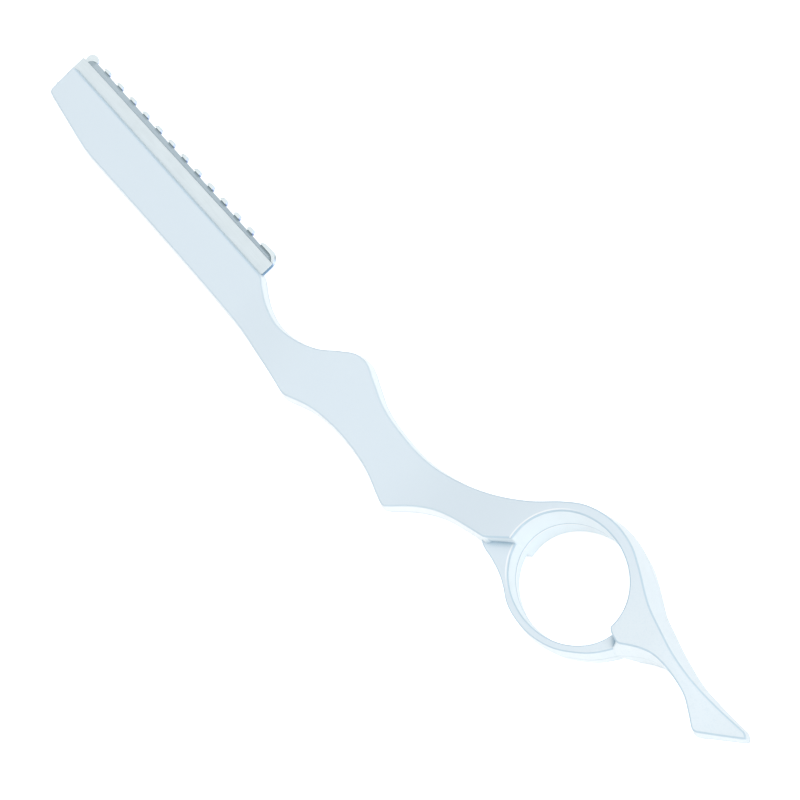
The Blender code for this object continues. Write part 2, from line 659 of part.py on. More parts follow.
def make_cover(group, cutters, material):
    """The strip in front of the blade. Its back edge steps down to the guard, where it is riveted."""
    middle = COVER_SHEET / 2
    start = GUARD_TIP_X
    profile = [(start, FLANGE_END_Y, FLANGE_LOW + middle),
               (start, FLANGE_TOP_Y - COVER_SHEET, FLANGE_LOW + middle),
               (start, FLANGE_TOP_Y, COVER_LOW + middle),
               (start, COVER_EDGE_Y, COVER_LOW + middle)]
    cover = strip("cover_plate", profile, (STOP_X - LAYER_GAP - start, 0, 0), COVER_SHEET, group, material)
    round_corner(cover, (start, COVER_EDGE_Y), COVER_CORNER, -1, cutters)
    round_corner(cover, (STOP_X - LAYER_GAP, COVER_EDGE_Y), COVER_CORNER, 1, cutters)
    return cover


def make_rivet(name, place, group, material):
    """A turned rivet with a head on the cover plate's side and a flat tail behind the guard."""
    head = RIVET_HIGH - RIVET_HEAD
    tail = RIVET_LOW + RIVET_HEAD
    profile = [(0, RIVET_HIGH), (RIVET_HEAD_RADIUS * 0.7, RIVET_HIGH), (RIVET_HEAD_RADIUS, head),
               (RIVET_RADIUS, head), (RIVET_RADIUS, tail), (RIVET_HEAD_RADIUS, tail),
               (RIVET_HEAD_RADIUS, RIVET_LOW), (0, RIVET_LOW)]
    mesh = bpy.data.meshes.new(name)
    mesh.from_pydata([(x, 0, z) for x, z in profile], [(i, i + 1) for i in range(len(profile) - 1)], [])
    mesh.materials.append(material)
    item = bpy.data.objects.new(name, mesh)
    group.objects.link(item)
    item.location = (*place, 0)
    turned = item.modifiers.new("turned", "SCREW")
    turned.steps = turned.render_steps = 16
    turned.use_merge_vertices = True
    turned.merge_threshold = 0.005 * MM
    return item


def drill_for_rivets(item, cutters):
    drills = rods(item.name + "_drills", rivet_places(), RIVET_RADIUS + LAYER_GAP, GUARD_LOW - MM,
                  COVER_HIGH + MM, cutters)
    add_boolean(item, drills, "DIFFERENCE")


def make_blade(group, cutters, material):
    """A thin strip, ground to a bevel on both sides of the cutting edge, with its corners rounded."""
    land = EDGE_Y - BLADE_BEVEL
    edge = BLADE_THICKNESS / 8
    profile = [(BLADE_BACK_Y, BLADE_LOW), (land, BLADE_LOW), (EDGE_Y, -edge), (EDGE_Y, edge),
               (land, BLADE_HIGH), (BLADE_BACK_Y, BLADE_HIGH)]
    bm = bmesh.new()
    face = bm.faces.new([bm.verts.new((BLADE_END_X - BLADE_LENGTH, y, z)) for y, z in profile])
    grown = bmesh.ops.extrude_face_region(bm, geom=[face])["geom"]
    bmesh.ops.translate(bm, vec=(BLADE_LENGTH, 0, 0),
                        verts=[g for g in grown if isinstance(g, bmesh.types.BMVert)])
    blade = add_mesh("razor_blade", bm, group, material)
    round_corner(blade, (BLADE_END_X - BLADE_LENGTH, EDGE_Y), BLADE_CORNER, -1, cutters)
    round_corner(blade, (BLADE_END_X, EDGE_Y), BLADE_CORNER, 1, cutters)
    return blade


def middle():
    """The middle of the whole razor in the plan: its widest outline with the tip lug."""
    wide = outset(handle_outline(), DRAFT)
    high_x = max(x for x, y in wide)
    low_y = min(y for x, y in wide)
    high_y = max(y for x, y in wide)
    return ((GUARD_TIP_X - LUG_PROUD + high_x) / 2, (low_y + high_y) / 2)


def add_empty(name, group, parent=None):
    empty = bpy.data.objects.new(name, None)
    group.objects.link(empty)
    empty.parent = parent
    return empty


def build():
    clear_scene()
    parts = new_collection("hair_thinning_razor")
    cutters = new_collection("cutters")
    plastic = new_material("silver_blue_moulding", (0.72, 0.81, 0.87), 0.42, 0.35)
    steel = new_material("strip_steel", (0.70, 0.74, 0.74), 0.3, 0.9)
    blade_steel = new_material("blade_steel", (0.42, 0.48, 0.53), 0.2, 1.0)
    guard_steel = new_material("guard_steel", (0.80, 0.84, 0.84), 0.25, 0.9)
    spring_steel = new_material("spring_steel", (0.45, 0.46, 0.48), 0.35, 1.0)

    frame = add_empty("razor_frame", parts)
    middle_x, middle_y = middle()
    frame.location = (-middle_x, -middle_y, RING_HALF)
    guard_slide = add_empty("guard_slide", parts, frame)
    blade_slide = add_empty("blade_slide", parts, guard_slide)

    channel = make_channel(cutters)
    fixed = [make_shell("front_shell", 1, parts, cutters, channel, plastic),
             make_shell("back_shell", -1, parts, cutters, channel, plastic),
             make_spring(parts, spring_steel)]
    guard = make_guard(parts, cutters, guard_steel)
    cover = make_cover(parts, cutters, steel)
    drill_for_rivets(guard, cutters)
    drill_for_rivets(cover, cutters)
    sliding = [guard, cover]
    for i, place in enumerate(rivet_places()):
        sliding.append(make_rivet(f"guard_rivet_{i + 1}", place, parts, steel))
    blade = make_blade(parts, cutters, blade_steel)
    for items, parent in ((fixed, frame), (sliding, guard_slide), ([blade], blade_slide),
                          (cutters.objects, frame)):
        for item in items:
            item.parent = parent


build()
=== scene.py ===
# %% [markdown]
# # Hair thinning razor
# The razor is a waved handle, moulded in two halves, with a deep finger ring and a short flared tail.
# Its straight head holds a steel comb guard with a blade in it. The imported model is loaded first. It says
# where every piece is and what moves, so each finer piece here is made in the place of the piece it stands
# for. It could be dressed with new materials alone, but its curves are made of flats a few millimetres long,
# so the handle and the blade holder are made again with many more steps.

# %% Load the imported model
import math

import bmesh
import bpy
from mathutils import Matrix, Vector
from mathutils.kdtree import KDTree


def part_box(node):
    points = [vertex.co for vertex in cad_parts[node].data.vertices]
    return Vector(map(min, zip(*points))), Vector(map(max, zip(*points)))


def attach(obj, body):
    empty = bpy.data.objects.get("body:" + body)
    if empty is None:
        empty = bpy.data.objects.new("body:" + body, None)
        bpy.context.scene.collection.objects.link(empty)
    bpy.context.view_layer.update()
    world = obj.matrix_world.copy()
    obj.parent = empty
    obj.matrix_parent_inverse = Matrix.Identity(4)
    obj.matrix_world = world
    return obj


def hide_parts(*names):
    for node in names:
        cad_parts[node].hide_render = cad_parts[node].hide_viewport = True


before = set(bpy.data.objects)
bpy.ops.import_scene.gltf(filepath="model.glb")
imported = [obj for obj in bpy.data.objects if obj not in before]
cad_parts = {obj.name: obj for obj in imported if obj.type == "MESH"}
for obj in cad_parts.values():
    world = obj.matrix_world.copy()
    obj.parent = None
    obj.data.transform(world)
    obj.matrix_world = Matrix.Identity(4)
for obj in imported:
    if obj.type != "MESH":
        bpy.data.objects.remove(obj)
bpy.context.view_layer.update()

MM = 0.001
print("pieces in the packed model:", sorted(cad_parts))

# %% [markdown]
# ## One origin for the plan
# A maker's drawing of this razor would start from the middle of the finger hole, because the ring, the grip
# and the tail are all measured from there. The loaded model has its origin under the middle of the whole
# razor, so the hole's middle is worked out from the comb guard: the tips of its teeth lie on the line
# through it, and its neck end lies a known way before it. The parting plane is half way up the ring.

# %% Find the middle of the finger hole
GUARD_END_TO_HOLE = 92.5 * MM
guard_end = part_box("comb_guard")[1]
RING_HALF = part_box("front_shell")[1].z / 2
ORIGIN = Vector((guard_end.x + GUARD_END_TO_HOLE, guard_end.y, RING_HALF))
print("middle of the finger hole in mm:", [round(c / MM, 3) for c in ORIGIN])

# %% [markdown]
# ## Sizes
# Nearly all of these are the real sizes that the construction uses. A few follow the photograph more closely,
# by some tenths of a millimetre. The rounds and steps are finer here, because the eye sees a rim that is
# round, and a curve without flats.

# %% Sizes of the handle
DRAFT = 0.4 * MM                # how much wider the walls are at the parting plane
RIM_RADIUS = 0.35 * MM
# the rim's deeper tone is painted shade, for the gloss that turns away from the light
RIM_FADE = 0.3 * MM             # the rim's deeper tone fades out this far down the wall
RIM_FOOT_MARK = 0.7             # and has this share of its strength where the round starts
FADE_DRAFT = 0.05               # share of the draft at the height where it has faded out
SHARP = 0.52 * MM               # how far the sides of a corner in the plan are cut back
CRISP = 0.65 * MM
SOFT = 1.0 * MM
BLUNT = 3.0 * MM
SEAM_GAP = 0.03 * MM            # half the gap between the two shells
SEAM_CHAMFER = 0.07 * MM        # the fine groove that shows as the seam line

HOLE_RADIUS_X = 13.35 * MM
HOLE_RADIUS_Y = 11.25 * MM
BAND_TOP = 1.85 * MM            # the ring's band over the hole
BAND_RISE = 0.25 * MM
BAND_BOW = 1.35 * MM            # the shallow bow under the hole
BOW_DRAFT = 0.33 * MM
BOW_RIM = 0.25 * MM
BOW_SET_BACK = 0.04 * MM
BOW_HALF = 3.9 * MM             # half the depth of bow, hump, waist, tail and head
HUMP_HALF = 3.2 * MM
WAIST_HALF = 2.1 * MM
TAIL_HALF = 1.9 * MM
HEAD_HALF = 2.1 * MM

NECK_X = -91.3 * MM
TIP_X = -154.95 * MM
TAIL_TIP_X = 44.6 * MM
SHELL_EDGE_Y = -4.75 * MM
LIP_SLANT = 0.22 * MM           # the lip runs away from the edge towards the neck
CHANNEL_Y = -9.9 * MM
HEAD_BACK_Y = -14.2 * MM
TIP_RISE = 2.6 * MM
TIP_SLANT = 0.25 * MM
TIP_BEND = 16.2 * MM
NECK_STEP_ANGLE = 194.0
TAIL_STEP_ANGLE = -1.5
BOW_OVERLAP_ANGLE = 8.0
TAIL_FOOT = 2.8 * MM            # how far the feet of the ring's two steps lean out
NECK_FOOT = 1.4 * MM
FOOT_REACH = 3.0 * MM

SPAN_STEPS = 12
RING_STEP = 2.5                 # degrees
CORNER_STEPS = 7
FACE_STEPS = 26
LEAST_STEP = 0.03 * MM
LEAST_MITRE = 0.6               # keeps the way outwards short at a sharp corner
CUT_SNAP = 0.02 * MM
RIM_TURNS = (15, 30, 45, 60, 75, 90)
print("handle length in mm:", round((TAIL_TIP_X - TIP_X) / MM, 1))

# %% [markdown]
# ## The plan of the handle
# The wave of the grip was drawn by hand by its maker, so no formula gives it. A few through points with a
# smooth curve between them are the shortest honest description. The alternative is a Bezier curve object,
# but its handles would have to be chosen too, and here the tangents follow from the neighbouring points.
# The ring is an exact ellipse, and each corner is cut back and rounded by a named amount.

# %% Places measured from the neck, the hole and the tail side
def from_neck(x, y):
    return (NECK_X + x * MM, y * MM)


def from_hole(x, y):
    return (-HOLE_RADIUS_X + x * MM, y * MM)


def from_tail_side(x, y):
    return (HOLE_RADIUS_X + x * MM, y * MM)


def ring_point(angle, radius_x=HOLE_RADIUS_X, radius_y=HOLE_RADIUS_Y):
    turn = math.radians(angle)
    return (radius_x * math.cos(turn), radius_y * math.sin(turn))


def several(measured, *pairs):
    """Several points, all measured from the same place."""
    return [measured(x, y) for x, y in pairs]


CUSP_BY_HEAD = from_neck(22.2, -17.1)
CUSP_BY_RING = from_hole(-24.55, -17.2)
NECK_STEP_OUTER = from_hole(-4.05, -6.6)
TAIL_STEP_MIDDLE = from_tail_side(1.15, -0.95)
TAIL_STEP_OUTER = from_tail_side(3.25, -1.4)
TAIL_SHOULDER = from_tail_side(30.4, 4.75)
TAIL_CORNER = from_tail_side(31.6, 4.1)
TAIL_HEEL = from_tail_side(23.85, -2.25)
HUMP_X = from_neck(19.3, 0)[0]
WAIST_X = from_hole(-28.65, 0)[0]
LAND_START_X = from_hole(9.35, 0)[0]
LAND_END_X = from_tail_side(6.65, 0)[0]
print("finger hole in mm:", round(2 * HOLE_RADIUS_X / MM, 1), "by", round(2 * HOLE_RADIUS_Y / MM, 1))


# %% Curves, corners and offsets
def ring_arc(start, end, radius_x, radius_y):
    count = max(2, round(abs(end - start) / RING_STEP))
    return [ring_point(start + (end - start) * i / count, radius_x, radius_y) for i in range(count + 1)]


def smooth_run(points):
    """Points of a smooth curve through the given points, whose tangents follow their neighbours."""
    ends = [Vector(p) for p in points]
    ends = [ends[0] * 2 - ends[1]] + ends + [ends[-1] * 2 - ends[-2]]
    run = []
    for before, start, end, after in zip(ends, ends[1:], ends[2:], ends[3:]):
        span = (end - start).length
        leave = ((start - before).normalized() + (end - start) / span) * span / 2
        arrive = ((end - start) / span + (after - end).normalized()) * span / 2
        for i in range(SPAN_STEPS):
            t = i / SPAN_STEPS
            run.append(start * (2 * t**3 - 3 * t**2 + 1) + leave * (t**3 - 2 * t**2 + t)
                       + end * (3 * t**2 - 2 * t**3) + arrive * (t**3 - t**2))
    run.append(ends[-2])
    return [tuple(p) for p in run]


def cut_back(run, length):
    """The run without its last stretch of the given length."""
    points = [Vector(p) for p in run]
    while length > 0 and len(points) > 1:
        step = (points[-1] - points[-2]).length
        if step > length:
            points[-1] = points[-1].lerp(points[-2], length / step)
            break
        length -= step
        points.pop()
    return [tuple(p) for p in points]


def joined_runs(runs, cuts):
    """A closed outline of runs that meet at corners; cuts[i] rounds the corner after run i."""
    trimmed = []
    for i, run in enumerate(runs):
        run = cut_back(run, cuts[i])
        trimmed.append(cut_back(run[::-1], cuts[i - 1])[::-1])
    outline = []
    for i, run in enumerate(trimmed):
        outline += run
        start, corner = Vector(run[-1]), Vector(runs[i][-1])
        end = Vector(trimmed[(i + 1) % len(runs)][0])
        for k in range(1, CORNER_STEPS):
            t = k / CORNER_STEPS
            outline.append(tuple(start * (1 - t) ** 2 + corner * 2 * t * (1 - t) + end * t**2))
    return [here for here, after in zip(outline, outline[1:] + outline[:1])
            if (Vector(here) - Vector(after)).length > LEAST_STEP]


def outward_ways(points):
    """For each point of a closed outline, the way outwards that keeps both its edges at one distance."""
    area = sum(a.x * b.y - b.x * a.y for a, b in zip(points, points[1:] + points[:1]))
    side = 1 if area > 0 else -1
    ways = []
    for before, here, after in zip(points[-1:] + points[:-1], points, points[1:] + points[:1]):
        one = (here - before).normalized()
        two = (after - here).normalized()
        mean = Vector((one.y + two.y, -one.x - two.x)).normalized()
        ways.append(mean * side / max(LEAST_MITRE, mean.dot(Vector((one.y, -one.x)))))
    return ways


# %% Outline of the handle and of the bow
def handle_outline():
    """The face of the handle without the bow: a hook that opens where the bow closes the ring."""
    tip_top = (TIP_X, SHELL_EDGE_Y)
    tip_back = (TIP_X + TIP_SLANT, HEAD_BACK_Y + TIP_RISE)
    neck = (NECK_X, SHELL_EDGE_Y - LIP_SLANT)
    bend = (TIP_X + TIP_BEND, HEAD_BACK_Y)
    upper = several(from_neck, (1.5, -6.0), (5.3, -7.9), (10.3, -9.0), (15.3, -8.3), (20.3, -6.2),
                    (23.9, -3.3), (26.7, -1.35), (29.5, -1.0), (33.1, -2.3), (38.8, -4.35))
    upper += several(from_hole, (-32.65, -5.2), (-24.65, -5.05), (-16.65, -3.0), (-9.15, 0.3), (-2.85, 4.45))
    ring_top = [ring_point(angle, HOLE_RADIUS_X + BAND_TOP, HOLE_RADIUS_Y + BAND_TOP + BAND_RISE)
                for angle in (138, 122, 106, 90, 72, 58)]
    tail_upper = several(from_tail_side, (2.35, 7.55), (6.95, 6.2), (12.15, 4.85), (17.65, 4.15), (24.0, 4.2))
    tail_lower = several(from_tail_side, (20.75, -0.2), (18.4, 1.15), (15.1, 1.97), (11.65, 2.25),
                         (8.95, 1.9), (6.15, 0.6))
    grip_lower = several(from_hole, (-7.65, -7.5), (-12.45, -8.8), (-16.15, -10.3), (-19.65, -12.6))
    groove = several(from_hole, (-27.65, -16.3), (-31.15, -15.15), (-34.65, -14.4))
    groove += several(from_neck, (36.3, -13.9), (28.7, -14.7))
    head_lower = several(from_neck, (16.9, -16.2), (11.3, -15.45), (5.3, -14.75), (-3.7, -14.4),
                         (-18.7, -14.2))
    runs = [
        [tip_back, tip_top],
        [tip_top, neck],
        smooth_run([neck] + upper + ring_top + tail_upper + [TAIL_SHOULDER]),
        [TAIL_SHOULDER, TAIL_CORNER],
        [TAIL_CORNER, TAIL_HEEL],
        smooth_run([TAIL_HEEL] + tail_lower + [TAIL_STEP_OUTER]),
        [TAIL_STEP_OUTER, TAIL_STEP_MIDDLE],
        [TAIL_STEP_MIDDLE, ring_point(TAIL_STEP_ANGLE)],
        ring_arc(TAIL_STEP_ANGLE, NECK_STEP_ANGLE, HOLE_RADIUS_X, HOLE_RADIUS_Y),
        [ring_point(NECK_STEP_ANGLE), NECK_STEP_OUTER],
        smooth_run([NECK_STEP_OUTER] + grip_lower + [CUSP_BY_RING]),
        smooth_run([CUSP_BY_RING] + groove + [CUSP_BY_HEAD]),
        smooth_run([CUSP_BY_HEAD] + head_lower + [bend]),
        [bend, tip_back],
    ]
    cuts = [SHARP, CRISP, SHARP, SHARP, SOFT, CRISP, CRISP / 2, CRISP / 2, CRISP / 2, CRISP, SOFT, SOFT,
            BLUNT, SOFT]
    return joined_runs(runs, cuts)


def bow_outline():
    """The shallow bow's face. Both its ends run on into the thick part of the ring."""
    inner_x = HOLE_RADIUS_X - DRAFT + BOW_DRAFT + BOW_SET_BACK
    inner_y = HOLE_RADIUS_Y - DRAFT + BOW_DRAFT + BOW_SET_BACK
    bottom = [ring_point(angle, HOLE_RADIUS_X + BAND_BOW, HOLE_RADIUS_Y + BAND_BOW)
              for angle in (248, 262, 280, 300, 318)]
    neck_side = several(from_hole, (-6.2, -5.4), (-4.5, -7.45), (-2.9, -7.95), (-1.3, -8.15), (1.1, -8.65),
                        (3.3, -9.35), (5.1, -10.2))
    tail_side = several(from_tail_side, (-0.35, -6.5), (1.3, -4.2), (2.3, -2.3), (2.6, 0.3))
    outer = smooth_run(neck_side + bottom + tail_side)
    inner = ring_arc(360 + TAIL_STEP_ANGLE + BOW_OVERLAP_ANGLE, NECK_STEP_ANGLE - BOW_OVERLAP_ANGLE,
                     inner_x, inner_y)
    runs = [outer, [outer[-1], inner[0]], inner, [inner[-1], outer[0]]]
    return joined_runs(runs, [SOFT] * len(runs))


print("outline points:", len(handle_outline()), "handle,", len(bow_outline()), "bow")

# %% [markdown]
# ## How thick the handle is
# Seen from the side the razor is thin at the head, swells a little at the first finger groove, thins to a
# waist, and then rises to the full depth of the ring before it runs down to the tail. The face is ruled: its
# height changes only along the razor. Half a cosine between two heights starts and ends level, so the
# slopes run into each other with no crease. A spline would do the same with more numbers.


# %% Height of the face along the razor
def slope(x, x0, x1, low, high):
    t = min(1, max(0, (x - x0) / (x1 - x0)))
    return low + (high - low) * (1 - math.cos(math.pi * t)) / 2


def half_thickness(x):
    if x < HUMP_X:
        return slope(x, NECK_X, HUMP_X, HEAD_HALF, HUMP_HALF)
    if x < WAIST_X:
        return slope(x, HUMP_X, WAIST_X, HUMP_HALF, WAIST_HALF)
    if x < LAND_START_X:
        return slope(x, WAIST_X, LAND_START_X, WAIST_HALF, RING_HALF)
    return slope(x, LAND_END_X, TAIL_TIP_X, RING_HALF, TAIL_HALF)


def face_stations():
    ramps = [(NECK_X, HUMP_X), (HUMP_X, WAIST_X), (WAIST_X, LAND_START_X), (LAND_END_X, TAIL_TIP_X)]
    return [x0 + (x1 - x0) * i / FACE_STEPS for x0, x1 in ramps for i in range(FACE_STEPS)]


print("half thickness in mm:", [round(half_thickness(x) / MM, 1) for x in (NECK_X, HUMP_X, WAIST_X, 0.0)])

# %% [markdown]
# ## From the plan to a moulding
# A moulded half leaves its tool only if its walls lean, so it is widest at the parting plane. The plan is
# filled as one face, cut where the slopes bend, and lifted level by level: a small chamfer that becomes the
# seam line, the leaning wall, and a rounded rim. A Bevel modifier would round the rim too, but it stumbles
# over the corners at the steps of the ring. In two places the wall runs out further than its draft: at the
# feet of the ring's steps, which meet the bow, and along the upper side of ring and tail, which swells. So
# the lowest level takes an extra lean. The levels also carry a mask, `rim`, where the finish paints a deeper
# tone as shade: it is full on the round and fades out on the wall below it.


# %% Mesh helpers
def put_in_scene(name, data):
    item = bpy.data.objects.new(name, data)
    bpy.context.scene.collection.objects.link(item)
    return item


def add_mesh(name, bm):
    bmesh.ops.recalc_face_normals(bm, faces=bm.faces[:])
    mesh = bpy.data.meshes.new(name)
    bm.to_mesh(mesh)
    bm.free()
    return put_in_scene(name, mesh)


def only(kind, parts):
    return [part for part in parts if isinstance(part, kind)]


def applied(item):
    """The item with its modifiers made into its mesh."""
    bpy.context.view_layer.update()
    made = bpy.data.meshes.new_from_object(item.evaluated_get(bpy.context.evaluated_depsgraph_get()))
    old = item.data
    item.modifiers.clear()
    item.data = made
    bpy.data.meshes.remove(old)
    return item


def joined(item, tool, operation):
    """The item after one Boolean with a tool, which is used up."""
    modifier = item.modifiers.new(operation.lower(), "BOOLEAN")
    modifier.operation = operation
    modifier.solver = "EXACT"
    modifier.object = tool
    applied(item)
    bpy.data.objects.remove(tool, do_unlink=True)
    return item


def boundary_loop(bm):
    """The sheet's outer verts in order."""
    edge = next(e for e in bm.edges if e.is_boundary)
    loop = [edge.verts[0]]
    vert = edge.verts[1]
    while vert is not loop[0]:
        loop.append(vert)
        edge = next(e for e in vert.link_edges if e.is_boundary and e is not edge)
        vert = edge.other_vert(vert)
    return loop


def no_lean(place):
    return Vector((0, 0, 0))


# %% Where the walls lean out further
# The upper side swells at the parting plane: over the ring, most at the tail's root, and less to its tip.
SWELL = [(x * MM, out * MM) for x, out in ((-14.0, 0.0), (-8.0, 0.35), (6.0, 0.35), (13.0, 1.0),
                                           (19.0, 0.8), (24.0, 0.75), (34.0, 0.3), (44.0, 0.0))]


def side_swell(x):
    for (x0, low), (x1, high) in zip(SWELL, SWELL[1:]):
        if x < x1:
            return slope(x, x0, x1, low, high)
    return SWELL[-1][1]


def handle_lean(place):
    """How far the walls run out at the parting plane, beyond their draft."""
    x, y = place[:2]
    lean = Vector((0, 0, 0))
    for corner, way in ((TAIL_STEP_OUTER, (-TAIL_FOOT, -TAIL_FOOT, 0)),
                        (NECK_STEP_OUTER, (NECK_FOOT, -NECK_FOOT, 0))):
        share = max(0, 1 - (Vector((x, y)) - Vector(corner)).length / FOOT_REACH)
        lean += Vector(way) * share**2
    outside_hole = math.hypot(x / HOLE_RADIUS_X, y / HOLE_RADIUS_Y) > 1 + DRAFT / HOLE_RADIUS_Y
    if outside_hole and y > TAIL_CORNER[1] - DRAFT:
        lean += Vector((0, side_swell(x), 0))
    return lean


# %% A moulded half
def moulded_half(outline, height, draft, rim, stations, side, lean=no_lean):
    """Half of a moulding in plan coordinates, on one side of the parting plane."""
    bm = bmesh.new()
    plan = bm.verts.layers.float_vector.new("plan")
    outward = bm.verts.layers.float_vector.new("outward")
    mask = bm.verts.layers.float.new("rim")
    bm.faces.new([bm.verts.new((x, y, 0)) for x, y in outline])
    for x in stations:
        bmesh.ops.bisect_plane(bm, geom=bm.verts[:] + bm.edges[:] + bm.faces[:], dist=CUT_SNAP,
                               plane_co=(x, 0, 0), plane_no=(1, 0, 0))
    loop = boundary_loop(bm)
    for vert, way in zip(loop, outward_ways([v.co.xy for v in loop])):
        vert[plan] = vert.co
        vert[outward] = (way.x, way.y, 0)

    def place(verts, out, drop, wear_and_rim_shade, low=None):
        for vert in verts:
            vert.co = vert[plan] + vert[outward] * out
            if low is not None and vert[outward].length > 0:
                vert.co += lean(vert[plan])
            vert.co.z = side * (height(vert.co.x) - drop if low is None else low)
            vert[mask] = wear_and_rim_shade

    levels = [(draft, 0, 0.0, SEAM_GAP + SEAM_CHAMFER), (draft * FADE_DRAFT, rim + RIM_FADE, 0.0, None),
              (0.0, rim, RIM_FOOT_MARK, None)]
    for turn in RIM_TURNS:
        angle = math.radians(turn)
        # the rim's painted shade is full on the round and none on the face
        wear_and_rim_shade = 1.0 if turn < 90 else 0.0
        levels.append((rim * (math.cos(angle) - 1), rim * (1 - math.sin(angle)), wear_and_rim_shade, None))
    place(bm.verts[:], draft - SEAM_CHAMFER, 0, 0.0, SEAM_GAP)
    base = bm.faces[:]
    sheet = base
    for out, drop, wear_and_rim_shade, low in levels:
        grown = bmesh.ops.extrude_face_region(bm, geom=sheet)["geom"]
        if sheet is not base:
            bmesh.ops.delete(bm, geom=[face for face in sheet if face.is_valid], context="FACES")
        sheet = only(bmesh.types.BMFace, grown)
        place(only(bmesh.types.BMVert, grown), out, drop, wear_and_rim_shade, low)
    bmesh.ops.triangulate(bm, faces=bm.faces[:])
    for name in ("plan", "outward"):
        bm.verts.layers.float_vector.remove(bm.verts.layers.float_vector[name])
    return bm


# %% [markdown]
# ## The two shells
# Each shell is the hook-shaped body with the shallow bow joined on, so that the ring closes. The join is a
# Boolean, as in the construction, and the channel for the guard is cut out afterwards. The Boolean keeps the
# body's mask but drops the bow's, so the bow's rim is remembered by place and marked again with a k-d tree,
# which finds the nearest remembered point quickly. Smooth shading follows the round rim, and the Weighted
# Normal modifier keeps the broad faces flat right up to it.

# %% Sizes of the blade holder
LAYER_GAP = 0.25 * MM
CLEARANCE = 0.3 * MM
CHANNEL_END_X = -92.2 * MM
CHANNEL_LOW = -1.0 * MM
CHANNEL_HIGH = 0.80 * MM
UNDERCUT_Y = -8.95 * MM
UNDERCUT_HIGH = 1.45 * MM
RIVET_Y = -7.8 * MM
RIVET_HEAD_RADIUS = 0.8 * MM
RIVET_LOW = -1.25 * MM
PAST = 1.0 * MM                 # a cutting tool runs past what it cuts
print("channel height in mm:", round((CHANNEL_HIGH - CHANNEL_LOW) / MM, 2))


# %% What is cut out of the head
def block(name, low, high):
    bm = bmesh.new()
    for vert in bmesh.ops.create_cube(bm, size=1.0)["verts"]:
        vert.co = [(a + b) / 2 + c * (b - a) for a, b, c in zip(low, high, vert.co)]
    return add_mesh(name, bm)


def channel_tools():
    """Tools for the guard's channel, the spring's pocket, the lip's undercut and the rivets' groove."""
    beyond = TIP_X - 2 * PAST
    above = SHELL_EDGE_Y + 3 * PAST
    groove = RIVET_HEAD_RADIUS + CLEARANCE
    spring_low, spring_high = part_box("detent_spring")
    return [block("channel", (beyond, CHANNEL_Y, CHANNEL_LOW), (CHANNEL_END_X, above, CHANNEL_HIGH)),
            block("pocket", spring_low - ORIGIN - Vector((CLEARANCE, LAYER_GAP, CLEARANCE)),
                  spring_high - ORIGIN + Vector((CLEARANCE, CLEARANCE, CLEARANCE))),
            block("undercut", (beyond, CHANNEL_Y, 0), (CHANNEL_END_X, UNDERCUT_Y, UNDERCUT_HIGH)),
            block("groove", (beyond, RIVET_Y - groove, RIVET_LOW - LAYER_GAP),
                  (CHANNEL_END_X, RIVET_Y + groove, 0))]


# %% Build the shells
SHARP_ANGLE = 28.0              # a fold of more degrees stays a crease
SAME_PLACE = 0.01 * MM


def rim_places(item):
    """The places of an item's rim, with its mask there."""
    marks = item.data.attributes["rim"].data
    return [(vert.co.copy(), mark.value) for vert, mark in zip(item.data.vertices, marks) if mark.value > 0]


def mark_rim(item, places):
    tree = KDTree(len(places))
    for i, (place, value) in enumerate(places):
        tree.insert(place, i)
    tree.balance()
    for vert, mark in zip(item.data.vertices, item.data.attributes["rim"].data):
        _, i, distance = tree.find(vert.co)
        if distance < SAME_PLACE:
            mark.value = places[i][1]


def smooth(item, angle=SHARP_ANGLE):
    item.data.shade_smooth()
    item.data.set_sharp_from_angle(angle=math.radians(angle))
    return item


def even_faces(item):
    item.modifiers.new("even_faces", "WEIGHTED_NORMAL").keep_sharp = True
    return item


def to_model(item):
    """Moves a piece from plan coordinates into the model's own."""
    item.data.transform(Matrix.Translation(ORIGIN))
    return item


def make_shell(name, side):
    half = moulded_half(handle_outline(), half_thickness, DRAFT, RIM_RADIUS, face_stations(), side,
                        handle_lean)
    shell = add_mesh(name, half)
    bow = add_mesh("bow", moulded_half(bow_outline(), lambda x: BOW_HALF, BOW_DRAFT, BOW_RIM, (), side))
    bow_rim = rim_places(bow)
    joined(shell, bow, "UNION")
    mark_rim(shell, bow_rim)
    for tool in channel_tools():
        joined(shell, tool, "DIFFERENCE")
    return even_faces(smooth(to_model(shell)))


front_case = make_shell("front_case", 1)
back_case = make_shell("back_case", -1)
for case in (front_case, back_case):
    print(case.name, len(case.data.polygons), "faces, loose edges:",
          sum(1 for e in case.data.edges if e.is_loose), "mask kept:", "rim" in case.data.attributes)

# %% [markdown]
# ## The comb guard
# The guard is pressed from thin bright sheet. Its leaf lies behind the blade, and each tooth's tip stands up
# in front of the edge, so that hair reaches the edge only between the teeth. The leaf is drawn as one flat
# outline of arcs, with a broad lug at the neck and a round one at the tip, and lifted to the height of the
# tips. Then the blade's place is sunk into it with a Boolean, and beside the neck lug a shallow recess, over
# which the cover plate runs on. Building each tooth by itself would leave a seam at every root. A fine bevel
# at the end breaks the edges, because a pressed edge is never sharp, and a sharp one would catch no light.

# %% Places of the blade holder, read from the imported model
def place_of(node):
    """A node's lowest and highest corner in plan coordinates."""
    low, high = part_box(node)
    return low - ORIGIN, high - ORIGIN


NECK_REACH = 0.2 * MM           # guard, cover plate and blade run on a little towards the neck
guard_low, guard_high = place_of("comb_guard")
cover_low, cover_high = place_of("cover_plate")
blade_low, blade_high = place_of("razor_blade")
for high in (guard_high, cover_high, blade_high):
    high.x += NECK_REACH
print("blade in mm:", [round(c / MM, 2) for c in blade_high - blade_low])

